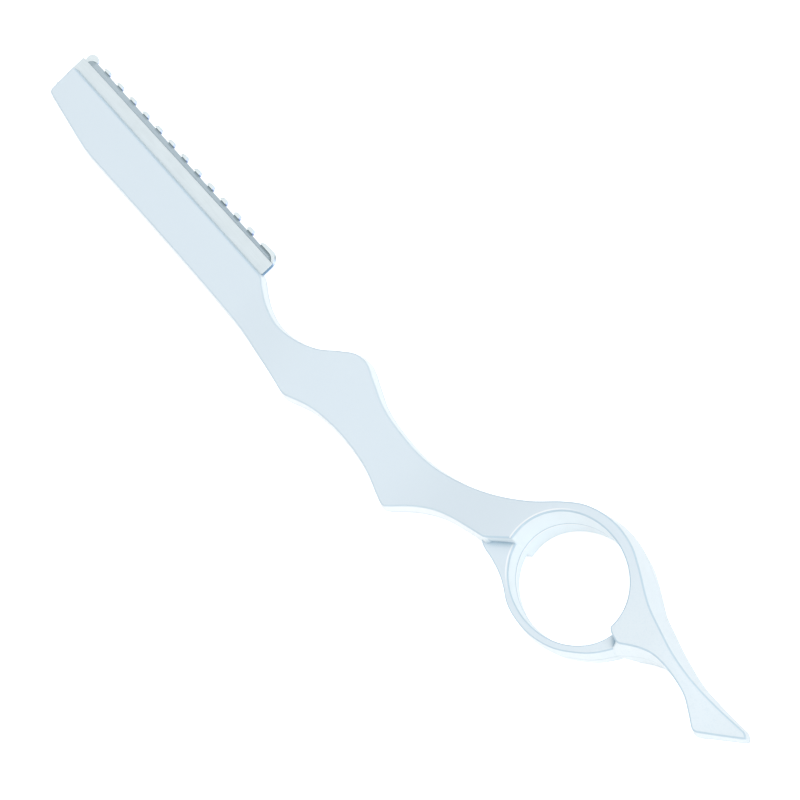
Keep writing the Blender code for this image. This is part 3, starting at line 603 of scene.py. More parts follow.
# %% Sizes of the guard, the cover plate and the blade
TOOTH_PITCH = 4.4 * MM
TOOTH_WIDTH = 1.7 * MM
TOOTH_PROUD = 0.35 * MM         # over the front of the blade
NECK_LUG = 5.4 * MM
NECK_LUG_CORNER = 2.5 * MM
NECK_LUG_ROUND = 1.3 * MM       # its smaller round, beside the first tooth
NECK_LUG_TURN = 160.0           # where that round ends, in degrees
NECK_LUG_LOW = 0.1 * MM
TIP_LUG = 2.9 * MM
TIP_LUG_TURN = 10.0             # where its round starts, in degrees
TIP_LUG_RISE = 0.1 * MM
LUG_PROUD = 0.15 * MM
LUG_BEYOND = 0.2 * MM
SHEET = 0.4 * MM
BLADE_CORNER = 1.8 * MM
BLADE_BEVEL = 0.7 * MM
BLADE_HONED = 0.14 * MM         # the last, steeper bevel
HONED_SHARE = 0.42              # of the blade's thickness, where that bevel starts
EDGE_SHARE = 0.1                # of the blade's thickness, at its edge
BLADE_SLANT = 0.2 * MM          # its edge runs back towards the neck
EDGE_GAP = 0.18 * MM            # from the blade's edge to its place in the guard
COVER_CORNER = 0.35 * MM
COVER_SHEET = 0.3 * MM
COVER_REACH = 0.62 * MM         # the cover plate runs on over the guard's stop
STOP_SUNK = 0.04 * MM           # the stop lies this much under the cover plate
COVER_TAPER = 0.25 * MM         # the cover plate is narrower at the tip
COVER_SHOWS_LESS = 0.1 * MM
TIP_REACH = 0.3 * MM            # cover plate and blade run on towards the tip
GUARD_TIP_X = guard_low.x + LUG_PROUD
STOP_X = guard_high.x - SHEET
TOOTH_COUNT = int((guard_high.x - GUARD_TIP_X - NECK_LUG - TIP_LUG + LUG_PROUD - TOOTH_WIDTH) / TOOTH_PITCH)

ARC_STEP = 9.0                  # degrees
CORNER_TURNS = (6.0, 84.0)      # a corner tool's round, which runs on straight at both ends
BROKEN_EDGE = 0.06 * MM         # bevel of a cut edge
GUARD_EDGE = 0.12 * MM          # bevel of the guard's pressed edges
BEVEL_SEGMENTS = 2
GUARD_FOLD = 40.0               # folds of more degrees are bevelled
STRIP_FOLD = 60.0
GROUND_FOLD = 3.0               # and on the blade each ground face keeps its crease
print("teeth:", TOOTH_COUNT)


# %% Flat outlines made into plates
def round_arc(centre, radius, start, end):
    count = max(3, round(abs(end - start) / ARC_STEP))
    turns = [math.radians(start + (end - start) * i / count) for i in range(count + 1)]
    return [(centre[0] + radius * math.cos(t), centre[1] + radius * math.sin(t)) for t in turns]


def prism(name, corners, run):
    """One face, given by its corners, drawn out along a run."""
    bm = bmesh.new()
    face = bm.faces.new([bm.verts.new(corner) for corner in corners])
    grown = bmesh.ops.extrude_face_region(bm, geom=[face])["geom"]
    bmesh.ops.translate(bm, vec=run, verts=only(bmesh.types.BMVert, grown))
    return add_mesh(name, bm)


def plate(name, outline, low, high):
    """A flat outline with a thickness."""
    return prism(name, [(x, y, low) for x, y in outline], (0, 0, high - low))


def broken_edges(item, width, fold):
    bevel = item.modifiers.new("broken_edges", "BEVEL")
    bevel.width = width
    bevel.segments = BEVEL_SEGMENTS
    bevel.limit_method = "ANGLE"
    bevel.angle_limit = math.radians(fold)
    bevel.use_clamp_overlap = True
    return even_faces(smooth(applied(item)))


# %% Outlines of the guard and of the blade's place
def guard_outline():
    """The guard's leaf: a straight back, a row of round-tipped teeth and a lug at each end."""
    leaf_y = blade_high.y - LAYER_GAP
    lug_side = guard_high.x - NECK_LUG
    small = TOOTH_WIDTH / 2
    outline = [(GUARD_TIP_X, guard_low.y), (guard_high.x, guard_low.y)]
    outline += round_arc((guard_high.x - NECK_LUG_CORNER, -NECK_LUG_CORNER), NECK_LUG_CORNER, 0, 90)
    outline += round_arc((lug_side + NECK_LUG_ROUND, -NECK_LUG_ROUND - NECK_LUG_LOW), NECK_LUG_ROUND, 90,
                         NECK_LUG_TURN)
    outline.append((lug_side, leaf_y))
    for i in range(TOOTH_COUNT):
        x = lug_side - TOOTH_PITCH * (i + 1) + small
        outline.append((x + small, leaf_y))
        outline += round_arc((x, -small), small, 0, 180)
        outline.append((x - small, leaf_y))
    lug = TIP_LUG / 2
    lug_x = GUARD_TIP_X - LUG_PROUD - LUG_BEYOND + lug
    outline.append((lug_x + lug, leaf_y))
    outline += round_arc((lug_x, TIP_LUG_RISE - lug), lug, TIP_LUG_TURN, 180)
    outline.append((GUARD_TIP_X, -TIP_LUG))
    return outline


def seat_outline():
    """The blade's place on the leaf, with a round corner beside the neck lug. It runs on over the tip lug."""
    beyond = GUARD_TIP_X - TIP_LUG
    lug_side = GUARD_TIP_X - LUG_PROUD + TIP_LUG + LAYER_GAP
    edge = blade_high.y + EDGE_GAP
    corner = BLADE_CORNER + EDGE_GAP
    outline = [(beyond, guard_low.y - PAST), (STOP_X, guard_low.y - PAST)]
    outline += round_arc((STOP_X - corner, edge - BLADE_SLANT - corner), corner, 0, 90)
    outline += [(lug_side, edge), (lug_side, PAST), (beyond, PAST)]
    return outline


# %% Build the guard
def make_guard():
    leaf_high = guard_low.z + SHEET
    tooth_high = blade_high.z + TOOTH_PROUD
    guard = plate("guard_with_teeth", guard_outline(), guard_low.z, tooth_high)
    joined(guard, plate("seat", seat_outline(), leaf_high, tooth_high + PAST), "DIFFERENCE")
    recess = block("stop_recess", (STOP_X - PAST, guard_low.y - PAST, cover_high.z - COVER_SHEET - STOP_SUNK),
                   (guard_high.x + PAST, cover_high.y + STOP_SUNK, tooth_high + PAST))
    joined(guard, recess, "DIFFERENCE")
    lip = block("lip", (GUARD_TIP_X, guard_low.y, guard_low.z + SHEET / 4),
                (guard_high.x, guard_low.y + SHEET, guard_high.z))
    joined(guard, lip, "UNION")
    return broken_edges(to_model(guard), GUARD_EDGE, GUARD_FOLD)


guard_piece = make_guard()
print(guard_piece.name, len(guard_piece.data.polygons), "faces")

# %% [markdown]
# ## Cover plate, blade, rivets and spring
# The cover plate is a strip whose back edge steps down to the guard, where three rivets hold it. The blade
# lies between them and slides out at the head's tip. A strip is an open profile, swept straight and given its
# thickness by Solidify, so the sheet stays equally thick through its step. The blade is ground from both
# sides, so its profile is drawn whole. Its corners, and the plate's, are cut round with a small tool. Last,
# verts are moved a little: the plate narrows to the tip, and the blade's edge runs back towards the neck.


# %% Strips and round corners
def strip(name, profile, run, thickness):
    """An open profile swept along a straight run and given its thickness by Solidify."""
    bm = bmesh.new()
    verts = [bm.verts.new(p) for p in profile]
    edges = [bm.edges.new(pair) for pair in zip(verts, verts[1:])]
    grown = bmesh.ops.extrude_edge_only(bm, edges=edges)["geom"]
    bmesh.ops.translate(bm, vec=run, verts=only(bmesh.types.BMVert, grown))
    item = add_mesh(name, bm)
    sheet = item.modifiers.new("sheet", "SOLIDIFY")
    sheet.thickness = thickness
    sheet.offset = 0
    sheet.use_even_offset = True
    return applied(item)


def round_corner(item, corner, radius, side):
    """Rounds a corner of a thin plate's edge. The plate lies on the low side of the corner in Y, and on
    its low side in X where side is 1."""
    outline = round_arc((0, 0), radius, *CORNER_TURNS)
    first, last = (math.radians(turn) for turn in CORNER_TURNS)
    outline.insert(0, (outline[0][0] + PAST * math.sin(first), outline[0][1] - PAST * math.cos(first)))
    outline.append((outline[-1][0] - PAST * math.sin(last), outline[-1][1] + PAST * math.cos(last)))
    outline.append((radius + 2 * PAST, radius + 2 * PAST))
    placed = [(corner[0] + side * (x - radius), corner[1] + y - radius) for x, y in outline]
    return joined(item, plate("corner_tool", placed, -2 * PAST, 2 * PAST), "DIFFERENCE")


# %% Build the cover plate and the blade
def make_cover():
    middle = COVER_SHEET / 2
    flange_z = cover_low.z + middle
    top_z = cover_high.z - middle
    flange_top = blade_low.y - LAYER_GAP
    start_x = cover_low.x - TIP_REACH
    end_x = cover_high.x + COVER_REACH
    length = end_x - start_x
    profile = [(start_x, cover_low.y, flange_z), (start_x, flange_top - COVER_SHEET, flange_z),
               (start_x, flange_top, top_z), (start_x, cover_high.y, top_z)]
    cover = strip("cover_strip", profile, (length, 0, 0), COVER_SHEET)
    for vert in cover.data.vertices:
        if vert.co.y > flange_top + COVER_SHEET:
            vert.co.y -= COVER_SHOWS_LESS + COVER_TAPER * (end_x - vert.co.x) / length
    edge = cover_high.y - COVER_SHOWS_LESS
    round_corner(cover, (start_x, edge - COVER_TAPER), COVER_CORNER, -1)
    round_corner(cover, (end_x, edge), COVER_CORNER, 1)
    return broken_edges(to_model(cover), BROKEN_EDGE, STRIP_FOLD)


def make_blade():
    thick = blade_high.z
    half = [(blade_low.y, thick), (blade_high.y - BLADE_BEVEL, thick),
            (blade_high.y - BLADE_HONED, thick * HONED_SHARE), (blade_high.y, thick * EDGE_SHARE)]
    profile = [(y, -z) for y, z in half] + half[::-1]
    start_x = blade_low.x - TIP_REACH
    length = blade_high.x - start_x
    blade = prism("ground_blade", [(start_x, y, z) for y, z in profile], (length, 0, 0))
    round_corner(blade, (start_x, blade_high.y), BLADE_CORNER, -1)
    round_corner(blade, (blade_high.x, blade_high.y), BLADE_CORNER, 1)
    for vert in blade.data.vertices:
        share = (vert.co.x - start_x) / length * (vert.co.y - blade_low.y) / (blade_high.y - blade_low.y)
        vert.co.y -= BLADE_SLANT * share
    return smooth(to_model(blade), GROUND_FOLD)


cover_piece = make_cover()
blade_piece = make_blade()
for piece in (cover_piece, blade_piece):
    print(piece.name, len(piece.data.polygons), "faces")

# %% Build the rivets and the spring
RIVET_COUNT = 3
RIVET_HEAD = 0.25 * MM
RIVET_STEPS = 32
DOME_TURNS = range(0, 91, 10)
ON_AXIS = 0.002 * MM
SPRING_SHEET = 0.25 * MM
SPRING_STEPS = 40


def make_rivet(number):
    """A turned rivet with a domed head on the cover plate's side and a flat tail behind the guard."""
    low, high = place_of(f"guard_rivet_{number}")
    centre = (low + high) / 2
    radius = (high.x - low.x) / 2
    shank = radius / 2
    dome = [(radius * math.sin(turn), high.z - RIVET_HEAD * (1 - math.cos(turn)))
            for turn in map(math.radians, DOME_TURNS)]
    profile = dome + [(shank, high.z - RIVET_HEAD), (shank, low.z + RIVET_HEAD), (radius, low.z + RIVET_HEAD),
                      (radius, low.z + RIVET_HEAD / 4), (radius - RIVET_HEAD / 4, low.z), (0, low.z)]
    mesh = bpy.data.meshes.new(f"rivet_{number}")
    mesh.from_pydata([(x, 0, z) for x, z in profile], [(i, i + 1) for i in range(len(profile) - 1)], [])
    item = put_in_scene(mesh.name, mesh)
    turned = item.modifiers.new("turned", "SCREW")
    turned.steps = turned.render_steps = RIVET_STEPS
    turned.use_merge_vertices = True
    turned.merge_threshold = ON_AXIS
    applied(item)
    item.data.transform(Matrix.Translation((centre.x, centre.y, 0)))
    return smooth(to_model(item))


def make_spring():
    """A bowed leaf whose crest faces the guard's spine."""
    low, high = place_of("detent_spring")
    rise = high.y - low.y - SPRING_SHEET
    profile = []
    for i in range(SPRING_STEPS + 1):
        t = i / SPRING_STEPS
        lift = rise * (1 - math.cos(2 * math.pi * t)) / 2
        profile.append((low.x + (high.x - low.x) * t, low.y + SPRING_SHEET / 2 + lift, low.z))
    spring = strip("retaining_leaf", profile, (0, 0, high.z - low.z), SPRING_SHEET)
    return broken_edges(to_model(spring), BROKEN_EDGE, STRIP_FOLD)


rivet_pieces = [make_rivet(i + 1) for i in range(RIVET_COUNT)]
spring_piece = make_spring()
print("rivets:", len(rivet_pieces), "spring faces:", len(spring_piece.data.polygons))

# %% [markdown]
# ## Writing a finish as an expression
# A finish is a small sum: a base colour, a little grain, a little wear. Drawn as nodes such a sum is hard to
# read, so one class wraps an output socket and lets Python's own signs add the Math nodes. Colours don't go
# through it, because a Math node turns a colour grey. They are laid over each other instead, like coats of
# paint: each layer has a share between 0 and 1, which may vary over the surface, and a colour.


# %% Sockets with arithmetic
class Tap:
    """One output of a finish's nodes, with arithmetic."""

    def __init__(self, finish, socket):
        self.finish = finish
        self.socket = socket

    def sum(self, operation, *values):
        return self.finish.node("ShaderNodeMath", {"operation": operation}, dict(enumerate(values)))

    def __add__(self, other):
        return self.sum("ADD", self, other)

    def __sub__(self, other):
        return self.sum("SUBTRACT", self, other)

    def __rsub__(self, other):
        return self.sum("SUBTRACT", other, self)

    def __mul__(self, other):
        return self.sum("MULTIPLY", self, other)

    def __abs__(self):
        return self.sum("ABSOLUTE", self)

    __radd__ = __add__
    __rmul__ = __mul__


# %% Node trees
class Nodes:
    """A node tree that is written as expressions."""

    def __init__(self, tree):
        self.tree = tree

    def put(self, socket, value):
        """Gives a socket a link from a tap, or a plain value."""
        if isinstance(value, Tap):
            self.tree.links.new(value.socket, socket)
        else:
            socket.default_value = value

    def node(self, kind, settings=None, sockets=None, out=0):
        """Adds a node: its settings first, then the values or links of its sockets."""
        made = self.tree.nodes.new(kind)
        for name, value in (settings or {}).items():
            setattr(made, name, value)
        for key, value in (sockets or {}).items():
            self.put(made.inputs[key], value)
        return Tap(self, made.outputs[out]) if made.outputs else None

    def vector(self, operation, *values, out=0):
        return self.node("ShaderNodeVectorMath", {"operation": operation}, dict(enumerate(values)), out)

    def parts_of(self, vector):
        """The three numbers of a vector."""
        return [self.node("ShaderNodeSeparateXYZ", {}, {"Vector": vector}, out=axis) for axis in "XYZ"]

    def rises(self, value, low, high, first=0.0, last=1.0):
        """A soft step up as a value goes from low to high."""
        return self.node("ShaderNodeMapRange", {"interpolation_type": "SMOOTHSTEP"},
                         {"Value": value, "From Min": low, "From Max": high, "To Min": first, "To Max": last})

    def falls(self, value, low, high):
        """A soft step from 1 down to 0 as a value goes from low to high."""
        return self.rises(value, low, high, 1.0, 0.0)


# %% Materials
MIX_COLOURS = (6, 7)            # a Mix node has sockets for each kind of value, and these are for colours
MIX_RESULT = 2


class Finish(Nodes):
    """A material that ends in one Principled shader."""

    def __init__(self, name):
        self.material = bpy.data.materials.new(name)
        self.material.use_nodes = True
        super().__init__(self.material.node_tree)
        self.shader = self.tree.nodes["Principled BSDF"]

    def place(self, stretch=(1, 1, 1), centre=(0, 0, 0)):
        """The place on the piece in metres from a centre, stretched where a grain is drawn out."""
        where = self.node("ShaderNodeTexCoord", out="Object")
        return self.vector("MULTIPLY", self.vector("SUBTRACT", where, centre), stretch)

    def plan(self):
        """The place on the piece in plan coordinates, as three numbers."""
        return self.parts_of(self.place(centre=ORIGIN))

    def distance(self, centre, stretch=(1, 1, 0)):
        """How far away a centre in the plan is, after the stretch."""
        return self.vector("LENGTH", self.place(stretch, ORIGIN + Vector(centre)), out="Value")

    def facing(self):
        """Which way the surface faces, in the piece's own axes."""
        return self.parts_of(self.node("ShaderNodeTexCoord", out="Normal"))

    def noise(self, where, size, detail=2.0, rough=0.5):
        """A noise whose marks are about the given size in metres."""
        return self.node("ShaderNodeTexNoise", {}, {"Vector": where, "Scale": 1 / size, "Detail": detail,
                                                    "Roughness": rough})

    def layered(self, colour, layers):
        """A colour under layers, each with its share and its own colour."""
        for share, coat in layers:
            sockets = {0: share}
            for key, value in zip(MIX_COLOURS, (colour, coat)):
                sockets[key] = value if isinstance(value, Tap) else (*value, 1)
            colour = self.node("ShaderNodeMix", {"data_type": "RGBA"}, sockets, out=MIX_RESULT)
        return colour

    def bump(self, height, depth):
        return self.node("ShaderNodeBump", {}, {"Height": height, "Distance": depth, "Strength": 1.0})

    def give(self, **inputs):
        """Sets or links the shader's inputs; a name's underscores are spaces."""
        for name, value in inputs.items():
            self.put(self.shader.inputs[name.replace("_", " ")], value)
        return self.material


def dress(material, *items):
    for item in items:
        item.data.materials.clear()
        item.data.materials.append(material)


# %% [markdown]
# ## Pearl plastic
# The handle is pale silver-blue. Close up it isn't one colour: tiny mica flakes are set in it, which show
# most on the tail. Light is painted into its colour in several places. The walls are painted paler than the
# face, most of all inside the ring and along the grip, and the tail's face is painted lighter, as if more
# light fell on them. Along every rim a deeper tone is painted as shade, where the gloss turns away from the
# light, and beside the ring's inner rim a pale line is painted as a highlight. The joint of the two halves
# shows as a fine dark line with a painted highlight below it. The narrow corners at the ring's steps are
# painted in shade where ambient occlusion finds them, and so is the lip where the face steps down to the
# cover plate. The grain is noise in the piece's own metres, so it keeps its real scale. An image of a grain
# would have to be unwrapped first.

# %% Colours and sizes of the pearl plastic
PEARL_FACE = (0.665, 0.76, 0.83)
# the walls' painted light, and the colour of the grain and its clouds
PEARL_WALL_LIGHT_AND_GRAIN = (0.715, 0.805, 0.86)
# the tail's face painted lighter, as if its slope caught more light
PEARL_TAIL_LIGHT = (0.705, 0.79, 0.845)
# painted light on the walls inside the ring, along the grip and on those that face -Y
PEARL_WALL_PAINTED_LIGHT = (0.865, 0.945, 0.985)
# painted shade on the rims, and the colour of the mica flakes
PEARL_FLAKES_AND_RIM_SHADE = (0.50, 0.645, 0.75)
# painted shade in narrow corners
PEARL_NOOK_SHADE = (0.19, 0.36, 0.48)
SEAM_DARK = (0.36, 0.51, 0.62)
# painted highlights beside the ring's inner rim and below the seam, and painted light on the grip's walls
PEARL_PAINTED_PALE_LIGHT = (0.98, 0.99, 1.0)
# painted shade along the lip, where the face steps down to the cover plate
LIP_SHADE = (0.56, 0.71, 0.82)
GRAIN_SIZE = 0.22 * MM
GRAIN_DEPTH = 0.006 * MM
FLAKE_SIZE = 0.27 * MM
CLOUD_SIZE = 9 * MM
NOOK_DEPTH = 1.9 * MM
SEAM_LINE = 0.17 * MM
LIP_WIDTH = 0.32 * MM
# width of the painted highlight beside the ring's inner rim
SHINE_WIDTH = 0.32 * MM
INNER_WALL = (HOLE_RADIUS_X + 0.1 * MM, HOLE_RADIUS_X + 0.3 * MM)
TAIL_TONE = (5 * MM, 17 * MM)   # where along the plan a tone starts and ends
GRIP_TONE = (-25 * MM, -13 * MM)
SHINE_TONE = (-12 * MM, -6 * MM)
LIP_TONE = (NECK_X - MM, NECK_X)
print("grain in mm:", round(GRAIN_SIZE / MM, 2), "flakes in mm:", round(FLAKE_SIZE / MM, 2))


# %% Finish of the shells
def pearl_plastic():
    finish = Finish("pearl_plastic")
    where = finish.place()
    along, across, height = finish.plan()
    _, facing_y, facing_z = finish.facing()
    from_middle = finish.distance((0, 0, 0), (1, HOLE_RADIUS_X / HOLE_RADIUS_Y, 0))
    grain = finish.noise(where, GRAIN_SIZE, detail=3.0, rough=0.6)
    cloud = finish.noise(where, CLOUD_SIZE)
    flakes = finish.node("ShaderNodeTexVoronoi", {}, {"Vector": where, "Scale": 1 / FLAKE_SIZE}, out="Color")
    glint = finish.node("ShaderNodeSeparateColor", {}, {"Color": flakes}, out="Red")
    # the mask of the rims, where a deeper tone is painted as shade
    rim = finish.node("ShaderNodeAttribute", {"attribute_name": "rim"}, out="Fac")
    # painted shade: darker where ambient occlusion finds the narrow corners at the ring's steps
    open_share = finish.node("ShaderNodeAmbientOcclusion", {"samples": 8, "only_local": True},
                             {"Distance": NOOK_DEPTH}, out="AO")
    nook_shade = finish.falls(open_share, 0.40, 0.93)
    wall = finish.falls(abs(facing_z), 0.25, 0.75)
    below = finish.falls(facing_y, -0.7, -0.2)
    inner = finish.falls(from_middle, *INNER_WALL)
    tail = finish.rises(along, *TAIL_TONE)
    grip = finish.falls(along, *GRIP_TONE)
    seam = finish.falls(abs(height), SEAM_LINE, SEAM_LINE * 1.6) * wall
    # a painted highlight on the wall inside the ring, just below the seam
    seam_highlight = finish.falls(abs(height + SEAM_LINE * 3), SEAM_LINE, SEAM_LINE * 2) * inner * wall
    # painted shade along the lip beside the cover plate
    from_lip = across + (along - TIP_X) * (LIP_SLANT / (NECK_X - TIP_X))
    lip = finish.rises(from_lip, SHELL_EDGE_Y - LIP_WIDTH, SHELL_EDGE_Y - LIP_WIDTH / 4)
    lip = lip * finish.falls(along, *LIP_TONE)
    # a painted highlight on the face, beside the ring's inner rim
    rim_start = HOLE_RADIUS_X + RIM_RADIUS
    rim_highlight = finish.rises(from_middle, rim_start - SHINE_WIDTH / 4, rim_start)
    rim_highlight = rim_highlight * finish.falls(from_middle, rim_start + SHINE_WIDTH * 0.7, rim_start + SHINE_WIDTH)
    rim_highlight = rim_highlight * finish.falls(along, *SHINE_TONE) * (1 - wall)
    # the walls are painted paler than the face, as if more light fell on them
    wall_painted_light = finish.layered(PEARL_WALL_LIGHT_AND_GRAIN, [(inner + below * 0.7 + grip * 0.8, PEARL_WALL_PAINTED_LIGHT),
                                            (grip * below * 0.35, PEARL_PAINTED_PALE_LIGHT)])
    body = finish.layered(PEARL_FACE, [
        # painted light on the tail's face
        (tail, PEARL_TAIL_LIGHT),
        (wall, wall_painted_light),
        (finish.rises(glint, 0.55, 0.95) * (0.02 + tail * 0.10), PEARL_FLAKES_AND_RIM_SHADE),
        (finish.rises(grain, 0.3, 0.75) * 0.10 + finish.rises(cloud, 0.35, 0.7) * 0.08, PEARL_WALL_LIGHT_AND_GRAIN),
        # painted shade along the rims, where the gloss turns away from the light
        (rim * (0.85 - grip * 0.45), PEARL_FLAKES_AND_RIM_SHADE),
        # the painted highlights beside the ring's inner rim and below the seam
        (rim_highlight * 0.55, PEARL_PAINTED_PALE_LIGHT),
        (seam_highlight * 0.8, PEARL_PAINTED_PALE_LIGHT),
        (seam * (inner * 0.65 + 0.18), SEAM_DARK),
        # painted shade in the narrow corners, strongest at the tail's step
        (nook_shade * (0.72 + tail * 0.28), PEARL_NOOK_SHADE),
        # painted shade along the lip
        (lip * 0.75, LIP_SHADE),
    ])
    return finish.give(Base_Color=body, Metallic=0.12, Roughness=0.36 + finish.rises(grain, 0.2, 0.8) * 0.10,
                       Normal=finish.bump(grain, GRAIN_DEPTH))


dress(pearl_plastic(), front_case, back_case)
print("finish:", front_case.data.materials[0].name)

# %% [markdown]
# ## The steels
# The cover plate is rolled strip, brushed lengthwise and neutral in tone. The blade is painted darker, with
# grinding marks across it, as shade for its ground faces that look away from the light. All are metals, so
# their colour lies in what they reflect. A brushed metal could be done with anisotropy, but a fine bump drawn
# out along the brushing holds up from every side. Along the blade's edge a painted shade lies behind each
# tooth, round the corner by the neck lug and under the tip lug, heavier towards the neck, and the whole
# blade is a little darker towards the neck. The guard is nickel plated and pale. Its seat under the blade is
# painted dark as shade, its sideways faces a little darker as shade, and its cut faces towards the neck are
# painted blue as shade and reflection, deepest at the roots.

# %% Finish of the brushed steels
ALONG_X = (0.03, 1, 1)          # a small number draws the brushing out in that direction
ALONG_Y = (1, 0.05, 1)
STAIN_SIZE = 3.5 * MM


def brushed_steel(name, colour, dark, stretch, line, roughness, depth, more_layers=None):
    """A steel whose brushing runs the way that the stretch draws it out."""
    finish = Finish(name)
    lines = finish.noise(finish.place(stretch), line, detail=4.0, rough=0.65)
    stain = finish.noise(finish.place(), STAIN_SIZE, detail=3.0, rough=0.55)
    wear_and_rim_shade = finish.rises(stain, 0.45, 0.8) * 0.35 + finish.rises(lines, 0.3, 0.8) * 0.4
    body = finish.layered(colour, [(wear_and_rim_shade, dark)])
    if more_layers:
        body = more_layers(finish, body)
    return finish.give(Base_Color=body, Metallic=1.0,
                       Roughness=roughness + finish.rises(lines, 0.25, 0.8) * 0.14,
                       Normal=finish.bump(lines, depth))


# %% Painted shade on the blade
SEAT_SHADE = (0.19, 0.25, 0.27)
BLADE_PAINTED_SHADE = (0.22, 0.285, 0.315)
BLADE_NECK_TONE = (0.24, 0.31, 0.37)
TOOTH_SHADE_WIDTH = 0.29 * MM
TOOTH_SHADE_PLACE = 0.62                # the painted shade's middle and its half width, as shares of a tooth's width
TOOTH_SHADE_HALF = (0.38, 0.52)


def blade_shade_and_tone(finish, body):
    """The blade a little darker towards the neck, and painted shade on the blade behind each tooth, round the
    corner by the neck lug and under the tip lug."""
    along, across, _ = finish.plan()
    edge = blade_high.y
    lug_side = guard_high.x - NECK_LUG
    first_tooth = lug_side - TOOTH_PITCH + TOOTH_WIDTH * TOOTH_SHADE_PLACE
    lug_shade_start = first_tooth + TOOTH_PITCH
    corner_x = blade_high.x - BLADE_CORNER
    tip_lug_end = GUARD_TIP_X + TIP_LUG
    # the blade is made a little darker towards the neck
    towards_neck = finish.rises(along, blade_low.x, blade_high.x)
    from_edge = across + (along - blade_low.x) * (BLADE_SLANT / (blade_high.x - blade_low.x))
    from_tooth = finish.node("ShaderNodeMath", {"operation": "PINGPONG"},
                             {0: along - first_tooth, 1: TOOTH_PITCH / 2})
    from_corner = finish.distance((corner_x, edge - BLADE_SLANT - BLADE_CORNER, 0))
    # painted shade on the blade behind each tooth
    by_tooth = finish.falls(from_tooth, TOOTH_WIDTH * TOOTH_SHADE_HALF[0], TOOTH_WIDTH * TOOTH_SHADE_HALF[1])
    by_lug = finish.rises(along, lug_shade_start - TOOTH_WIDTH / 2, lug_shade_start)
    past = finish.rises(along, corner_x, corner_x + TOOTH_SHADE_WIDTH / 4)
    straight = finish.rises(from_edge, edge - TOOTH_SHADE_WIDTH * 1.5, edge - TOOTH_SHADE_WIDTH) * (1 - past)
    # painted shade round the blade's corner by the neck lug
    round_end = finish.rises(from_corner, BLADE_CORNER - TOOTH_SHADE_WIDTH * 1.3, BLADE_CORNER - TOOTH_SHADE_WIDTH) * past
    shaded_edge = straight * (by_tooth * (1 - by_lug) + by_lug) + round_end
    # painted shade on the blade under the tip lug
    by_tip = finish.falls(along, tip_lug_end - TIP_LUG * 0.3, tip_lug_end) * 0.4
    return finish.layered(body, [(towards_neck * 0.2, BLADE_NECK_TONE), (shaded_edge * (0.38 + towards_neck * 0.4) + by_tip, BLADE_PAINTED_SHADE)])


strip_steel = brushed_steel("strip_steel", (0.69, 0.765, 0.80), (0.635, 0.705, 0.735), ALONG_X,
                            line=0.12 * MM, roughness=0.36, depth=0.003 * MM)
# the blade's colour is painted darker, as shade for its ground faces
blade_steel = brushed_steel("blade_steel", (0.42, 0.50, 0.55), (0.33, 0.41, 0.46), ALONG_Y,
                            line=0.06 * MM, roughness=0.18, depth=0.002 * MM, more_layers=blade_shade_and_tone)
spring_steel = brushed_steel("spring_steel", (0.40, 0.41, 0.43), (0.28, 0.28, 0.30), ALONG_X,
                             line=0.10 * MM, roughness=0.32, depth=0.003 * MM)
print("finishes:", [steel.name for steel in (strip_steel, blade_steel, spring_steel)])

# %% Finish of the guard
NICKEL = (0.71, 0.78, 0.805)
NICKEL_LINES_AND_EDGE_SHADE = (0.40, 0.52, 0.58)
# painted shade and reflection on the guard's faces towards the neck
STOP_WALL_SHADE = (0.14, 0.25, 0.38)
NECKWARD_REFLECTION = (0.60, 0.70, 0.90)
TOOTH_ROOT_SHADE = (0.21, 0.29, 0.54)
NICKEL_LINE = 0.15 * MM
NICKEL_DEPTH = 0.002 * MM
SEAT_ROOTS = (-0.40 * MM, -0.20 * MM)       # the seat's painted shade, across the plan and in height
SEAT_LOW = (-0.45 * MM, -0.40 * MM)
SEAT_HIGH = (0.22 * MM, 0.36 * MM)
SEAT_TIP = 0.2 * MM
TOOTH_ROOTS = (-0.75 * MM, -0.45 * MM)      # the faces painted with shade and reflection, in the same way
STOP_WALL = (-2.1 * MM, -1.4 * MM)
STOP_WALL_LOW = (-0.65 * MM, -0.4 * MM)


